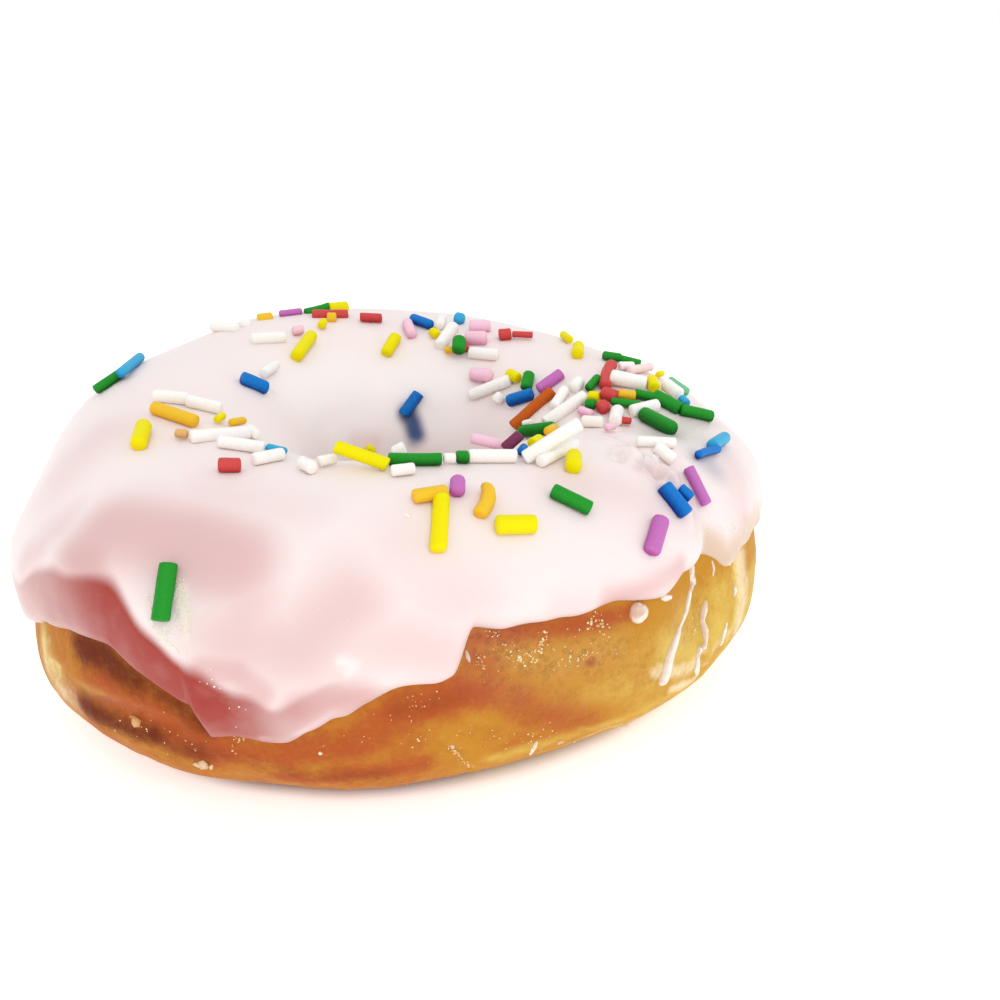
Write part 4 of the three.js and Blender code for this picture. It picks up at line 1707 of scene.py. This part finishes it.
# Pale golden grains on the greasy crust at the front stand in for glints there: painted highlights
# as well as sugar.
# Grains by pixel: the line they lie along, spread in pixels, number, and sizes in mm.
SUGAR_LINES = (
    (((498, 646), (519, 659), (534, 658)), 6, 26, (0.08, 0.22)),
    (((517, 657), (521, 661)), 2, 6, (0.16, 0.3)),
    (((547, 629), (544, 644), (534, 654)), 3, 26, (0.08, 0.24)),
    (((588, 628), (600, 618), (604, 640)), 5, 36, (0.08, 0.24)),
    (((556, 662), (592, 656)), 6, 26, (0.08, 0.2)),
    (((482, 634), (500, 632)), 3, 12, (0.08, 0.18)),
    (((478, 655), (488, 675)), 5, 20, (0.06, 0.16)),
    (((450, 746), (461, 759), (472, 767)), 2, 36, (0.08, 0.22)),
    (((226, 731), (243, 736), (236, 747)), 5, 26, (0.08, 0.22)),
    (((320, 752), (322, 754)), 1, 3, (0.14, 0.26)),
    (((410, 706), (432, 700)), 8, 16, (0.06, 0.16)),
    (((690, 640), (700, 600)), 6, 20, (0.08, 0.18)),
    (((400, 740), (560, 735)), 12, 50, (0.05, 0.15)),
    (((110, 720), (200, 745)), 10, 20, (0.06, 0.16)),
    (((300, 760), (470, 690)), 22, 14, (0.05, 0.12)),
    (((500, 650), (640, 640)), 18, 60, (0.05, 0.13)),
)
ICING_SUGAR_LINES = (
    (
        ((148, 596), (150, 618), (160, 634), (178, 628), (184, 600), (176, 576)),
        4, 260, (0.05, 0.13),
    ),
    (((184, 594), (190, 612), (188, 636)), 3, 90, (0.05, 0.13)),
    (((165, 640), (176, 648), (186, 656)), 2, 30, (0.06, 0.12)),
    (((408, 516), (409, 517)), 0.5, 1, (0.5, 0.6)),
    (((706, 530), (742, 525), (744, 545)), 9, 60, (0.08, 0.2)),
    (((212, 668), (222, 700), (250, 722)), 10, 10, (0.08, 0.18)),
    (((204, 640), (330, 620)), 16, 10, (0.06, 0.12)),
    (((610, 440), (660, 470)), 9, 8, (0.1, 0.2)),
)
SPREAD_DEVIATIONS = 1.5  # the spread is this many standard deviations
# Grains round the back and crumbs round the base: number, azimuths, heights and sizes.
BACK_SUGAR = (260, (-10, 200), (2, 17), (0.12, 0.4))
BASE_CRUMBS = (230, (0, 360), (0.3, 1.6), (0.18, 0.55))
CRUMB_REST = 0.45  # height of a crumb's middle over the base, as a share of its size
CUBE_SIDES = (0.6, 1.2)  # shares of a grain's size that its sides have
CUBE_UNEVEN = 0.07  # share of its size by which its corners vary
# Crumbs by pixel: place and size in mm.
PLACED_CRUMBS = (
    ((137, 721), 0.8), ((198, 765), 0.6), ((204, 764), 0.8), ((212, 766), 0.5), ((243, 716), 0.5),
    ((219, 684), 0.45), ((275, 708), 0.5), ((452, 746), 0.5), ((560, 742), 0.5), ((574, 741), 0.5),
    ((626, 724), 0.6),
)
CUBE = np.array([(x, y, z) for x in (-1, 1) for y in (-1, 1) for z in (-1, 1)], float) / 2
CUBE_FACES = ((0, 1, 3, 2), (4, 6, 7, 5), (0, 4, 5, 1), (2, 3, 7, 6), (0, 2, 6, 4), (1, 5, 7, 3))


def line_scatter(carrier, rows, draw):
    """Places and sizes strewn along pixel lines, off each by a normal share of its spread."""
    places, sizes = [], []
    for pixels, spread, count, size in rows:
        line = np.array(pixels, float)
        at = draw.uniform(0, len(line) - 1, count)
        x = np.interp(at, np.arange(len(line)), line[:, 0])
        y = np.interp(at, np.arange(len(line)), line[:, 1])
        for pixel in np.stack((x, y), 1) + draw.normal(0, spread / SPREAD_DEVIATIONS, (count, 2)):
            hit = carrier.ray(pixel)
            if hit is not None:
                places.append(hit[0])
                sizes.append(draw.uniform(*size))
    return np.array(places), np.array(sizes)


def ring_scatter(carrier, row, draw):
    """Places and sizes strewn over the wall between two azimuths and two heights."""
    count, azimuths, heights, size = row
    azimuth = draw.uniform(*azimuths, count)
    z = draw.uniform(*heights, count)
    radius, height = dough_section(azimuth, turn_at_height(azimuth, z))
    places = [carrier.nearest(point)[0] for point in ring_point(azimuth, radius, height)]
    return np.array(places), draw.uniform(*size, count) * draw.uniform(0.5, 1, count)


def random_turns(count, draw):
    """Random rotations: the orthogonal part of random matrices, turned the right way round."""
    turns = np.linalg.qr(draw.standard_normal((count, 3, 3)))[0]
    flip = np.sign(np.linalg.det(turns))
    return turns * flip[:, None, None]


def grain_piece(name, places, sizes, material, draw, smooth_faces):
    """One mesh of small uneven cubes, each turned at random."""
    count, corners = len(places), len(CUBE)
    shapes = CUBE * draw.uniform(*CUBE_SIDES, (count, 1, 3))
    shapes = shapes + draw.normal(0, CUBE_UNEVEN, (count, corners, 3))
    shapes = np.einsum("nij,nkj->nki", random_turns(count, draw), shapes)
    points = (places[:, None] + shapes * sizes[:, None, None]).reshape(-1, 3)
    faces = np.array(CUBE_FACES)[None] + corners * np.arange(count)[:, None, None]
    masks = {"tone": np.repeat(draw.uniform(size=count), corners)}
    add_piece(name, points, faces.reshape(-1, 4), material, masks, smooth_faces)


def make_sugar():
    """Sugar grains on the wall and on the icing, in one piece each; those on the wall also stand in
    for glints.
    """
    draw = np.random.default_rng(SUGAR_SEED)
    wall, icing = piece_carrier("dough_ring"), piece_carrier("icing_cap")
    seen = line_scatter(wall, SUGAR_LINES, draw)
    behind = ring_scatter(wall, BACK_SUGAR, draw)
    places, sizes = (np.concatenate(pair) for pair in zip(seen, behind))
    golden = sugar_material("golden sugar grains", GOLDEN_GRAIN_COLOURS)
    grain_piece("sugar_on_dough", places, sizes, golden, draw, False)
    places, sizes = line_scatter(icing, ICING_SUGAR_LINES, draw)
    white = sugar_material("white sugar grains", WHITE_GRAIN_COLOURS)
    grain_piece("sugar_on_icing", places, sizes, white, draw, False)


def make_crumbs():
    """Crumbs round the foot of the wall, and the larger ones where they show."""
    draw = np.random.default_rng(CRUMB_SEED)
    wall = piece_carrier("dough_ring")
    pixels, placed_sizes = zip(*PLACED_CRUMBS)
    round_base = ring_scatter(wall, BASE_CRUMBS, draw)
    placed = (wall.pins(pixels), placed_sizes)
    places, sizes = (np.concatenate(pair) for pair in zip(round_base, placed))
    places[:, 2] = np.maximum(places[:, 2], CRUMB_REST * sizes)
    grain_piece("crumbs", places, sizes, crumb_material(), draw, True)


# ---- Stage ----------------------------------------------------------------------------

# The floor lies in rings round the foot of the wall, this many mm outside it.
FLOOR_GAPS = (-4.0, 0.0, *np.arange(0.5, 7.0, 0.5), 2500.0)
FLOOR_STEPS = 180
# Painted contact shadow: close to the foot the floor is left without glow, so that only there its
# shade shows.
FLOOR_DARK = 1.0  # mm outside the foot: nearer than this the floor doesn't glow
FLOOR_WHITE = 4.0  # mm outside the foot: from here on it glows fully
FLOOR_WIDER = dict(middle=-66, half_width=20, more=1.2)  # and where it does so further out
KEY_PLACE = (190.0, -440.0, 540.0)  # mm
KEY_SIZE = 300.0  # mm
KEY_AIM_HEIGHT = 15  # mm over the origin


def make_camera():
    camera = bpy.data.objects.new("camera", bpy.data.cameras.new("camera"))
    camera.data.lens = LENS_MM
    camera.data.sensor_width = SENSOR_MM
    camera.data.clip_start = CLIP_START * MM
    camera.location = Vector(CAMERA_PLACE * MM)
    camera.rotation_euler = (math.radians(90 - CAMERA_PITCH), 0, 0)
    bpy.context.scene.collection.objects.link(camera)
    bpy.context.scene.camera = camera


def make_floor(settings):
    """Rings round the foot of the wall, which glow more the further out they lie; the ring left
    dark by the foot, wider at the front right, is a painted contact shadow.
    """
    azimuth = np.linspace(0, 360, FLOOR_STEPS, endpoint=False)[:, None]
    foot, _ = dough_section(azimuth, turn_at_height(azimuth, 0.0))
    gap = np.tile(FLOOR_GAPS, (FLOOR_STEPS, 1))
    index = np.arange(gap.size).reshape(gap.shape)
    following = np.roll(index, -1, 0)
    corners = (index[:, :-1], index[:, 1:], following[:, 1:], following[:, :-1])
    quads = np.stack(corners, -1).reshape(-1, 4)
    faces = [*map(tuple, quads.tolist()), tuple(index[:, 0].tolist())]
    points = ring_point(azimuth, foot + gap, 0.0).reshape(-1, 3) * MM
    mesh = bpy.data.meshes.new("floor")
    mesh.from_pydata(points.tolist(), [], faces)
    wider = bell(azimuth, FLOOR_WIDER["middle"], FLOOR_WIDER["half_width"])
    glowing = smooth(gap, FLOOR_DARK, FLOOR_WHITE + FLOOR_WIDER["more"] * wider)
    glow = mesh.attributes.new("glow", "FLOAT", "POINT")
    glow.data.foreach_set("value", glowing.astype(np.float32).ravel())
    mesh.materials.append(floor_material(settings))
    floor = bpy.data.objects.new("floor", mesh)
    bpy.context.scene.collection.objects.link(floor)


def make_lamp(name, place, size, power):
    """A square soft light at a place in mm, with its power in watts, aimed at the doughnut."""
    lamp = bpy.data.objects.new(name, bpy.data.lights.new(name, "AREA"))
    lamp.data.size = size * MM
    lamp.data.energy = power
    lamp.location = Vector(place) * MM
    aim = Vector((0, 0, KEY_AIM_HEIGHT * MM)) - lamp.location
    lamp.rotation_euler = aim.to_track_quat("-Z", "Y").to_euler()
    bpy.context.scene.collection.objects.link(lamp)


def make_world(settings):
    """White all round: it shows as white, and lights the doughnut by its own strength."""
    scene = bpy.context.scene
    scene.world = scene.world or bpy.data.worlds.new("studio")
    scene.world.use_nodes = True
    tree = scene.world.node_tree
    strength = tree.nodes.new("ShaderNodeMix")
    seen = tree.nodes.new("ShaderNodeLightPath").outputs["Is Camera Ray"]
    tree.links.new(seen, strength.inputs["Factor"])
    strength.inputs["A"].default_value = settings.sky
    strength.inputs["B"].default_value = 1.0
    background = tree.nodes["Background"]
    background.inputs["Color"].default_value = (1, 1, 1, 1)
    tree.links.new(strength.outputs["Result"], background.inputs["Strength"])
    scene.view_settings.view_transform = "Standard"
    scene.view_settings.look = "None"


def make_stage(settings):
    make_camera()
    make_floor(settings)
    make_world(settings)
    make_lamp("key_light", KEY_PLACE, KEY_SIZE, settings.key)


# ---- Settings -------------------------------------------------------------------------


def colour_property(name, description, default):
    return FloatVectorProperty(
        name=name, description=description, subtype="COLOR", size=3, min=0, max=1, default=default
    )


class DoughSettings(bpy.types.PropertyGroup):
    relief: FloatProperty(name="Relief", description="Unevenness of the dough", default=1.0)
    golden: colour_property("Golden", "Colour of the wall", srgb(195, 138, 48))
    amber: colour_property("Amber", "Colour where it browned", srgb(176, 87, 44))
    pale: colour_property("Pale", "Colour of the pale side", srgb(216, 184, 88))
    # Colour of the painted shade under the brow, in the fold and at the foot.
    dark: colour_property("Dark", "Colour under the brow of icing", srgb(108, 46, 22))


class IcingSettings(bpy.types.PropertyGroup):
    thickness: FloatProperty(
        name="Thickness", description="Thickness of the even coat, in mm", default=2.2
    )
    lip: FloatProperty(
        name="Lip", description="Run over which the edge rounds off, in mm", default=2.4
    )
    ripple: FloatProperty(
        name="Ripple", description="Unevenness of the lower edge, in mm", default=0.35
    )
    pale: colour_property("Pale", "Colour of the even icing", srgb(244, 232, 230))
    # Pinker colour of the painted shade on the icing.
    shade_rose: colour_property("Rose", "Colour where it is pinker", srgb(222, 186, 185))
    # Deep pink of the painted shade on the brow's side.
    deep: colour_property("Deep", "Colour of the brow's side", srgb(163, 55, 44))
    seep: colour_property("Seep", "Colour where dough shows through", srgb(218, 192, 170))


class SprinkleSettings(bpy.types.PropertyGroup):
    sink: FloatProperty(
        name="Sink", description="How deep a rod lies in the icing, in mm", default=0.22
    )


# Each setting is the colour of the rods' side in painted light; their painted shade below is worked
# out from it.
for rod_colour, (lit_colour, _) in SPRINKLE_COLOURS.items():
    SprinkleSettings.__annotations__[rod_colour] = colour_property(
        rod_colour.capitalize(), f"Upper side of the {rod_colour} rods", srgb(*lit_colour)
    )


class StageSettings(bpy.types.PropertyGroup):
    floor_colour: colour_property("Floor", "Colour of the floor", (0.8, 0.77, 0.76))
    floor_glow: FloatProperty(name="Glow", description="Glow of the floor", default=0.55)
    sky: FloatProperty(name="Sky", description="Light from all round", default=0.92)
    key: FloatProperty(name="Key", description="Power of the key light", default=0.8, unit="POWER")


# ---- Operators ------------------------------------------------------------------------


class DOUGHNUT_OT_stage(bpy.types.Operator):
    """Makes the camera, the floor and the lights"""

    bl_idname = "doughnut.stage"
    bl_label = "Stage"

    def execute(self, context):
        make_stage(context.scene.doughnut_stage)
        return {"FINISHED"}


class DOUGHNUT_OT_dough(bpy.types.Operator):
    """Makes the ring of dough"""

    bl_idname = "doughnut.dough"
    bl_label = "Dough"

    def execute(self, context):
        make_dough(context.scene.doughnut_dough)
        return {"FINISHED"}


class DOUGHNUT_OT_icing(bpy.types.Operator):
    """Makes the cap of icing"""

    bl_idname = "doughnut.icing"
    bl_label = "Icing"

    def execute(self, context):
        make_icing(context.scene.doughnut_icing, context.scene.doughnut_dough)
        return {"FINISHED"}


class DOUGHNUT_OT_sprinkles(bpy.types.Operator):
    """Lays the sprinkles on the icing"""

    bl_idname = "doughnut.sprinkles"
    bl_label = "Sprinkles"

    def execute(self, context):
        make_sprinkles(context.scene.doughnut_sprinkles)
        return {"FINISHED"}


class DOUGHNUT_OT_glaze(bpy.types.Operator):
    """Makes the dried runs and drops of glaze"""

    bl_idname = "doughnut.glaze"
    bl_label = "Glaze runs"

    def execute(self, context):
        make_glaze()
        return {"FINISHED"}


class DOUGHNUT_OT_sugar(bpy.types.Operator):
    """Strews the sugar grains and the crumbs"""

    bl_idname = "doughnut.sugar"
    bl_label = "Sugar and crumbs"

    def execute(self, context):
        make_sugar()
        make_crumbs()
        return {"FINISHED"}


class DOUGHNUT_PT_panel(bpy.types.Panel):
    """Lists the steps and their settings"""

    bl_idname = "DOUGHNUT_PT_panel"
    bl_label = "Doughnut"
    bl_space_type = "VIEW_3D"
    bl_region_type = "UI"
    bl_category = "Doughnut"

    def draw(self, context):
        for operator, group in PANEL_ROWS:
            box = self.layout.box()
            box.operator(operator.bl_idname)
            if group is None:
                continue
            settings = getattr(context.scene, group)
            for name in settings.bl_rna.properties.keys():
                if name not in {"rna_type", "name"}:
                    box.prop(settings, name)


PANEL_ROWS = (
    (DOUGHNUT_OT_stage, "doughnut_stage"),
    (DOUGHNUT_OT_dough, "doughnut_dough"),
    (DOUGHNUT_OT_icing, "doughnut_icing"),
    (DOUGHNUT_OT_sprinkles, "doughnut_sprinkles"),
    (DOUGHNUT_OT_glaze, None),
    (DOUGHNUT_OT_sugar, None),
)
SETTINGS = {
    "doughnut_stage": StageSettings,
    "doughnut_dough": DoughSettings,
    "doughnut_icing": IcingSettings,
    "doughnut_sprinkles": SprinkleSettings,
}
CLASSES = (*SETTINGS.values(), *(row[0] for row in PANEL_ROWS), DOUGHNUT_PT_panel)


def register():
    for made in CLASSES:
        bpy.utils.register_class(made)
    for name, group in SETTINGS.items():
        setattr(bpy.types.Scene, name, PointerProperty(type=group))


def unregister():
    for name in SETTINGS:
        delattr(bpy.types.Scene, name)
    for made in reversed(CLASSES):
        bpy.utils.unregister_class(made)


def main():
    register()
    bpy.ops.doughnut.stage()
    bpy.ops.doughnut.dough()
    bpy.ops.doughnut.icing()
    bpy.ops.doughnut.sprinkles()
    bpy.ops.doughnut.glaze()
    bpy.ops.doughnut.sugar()


if __name__ == "__main__":
    main()
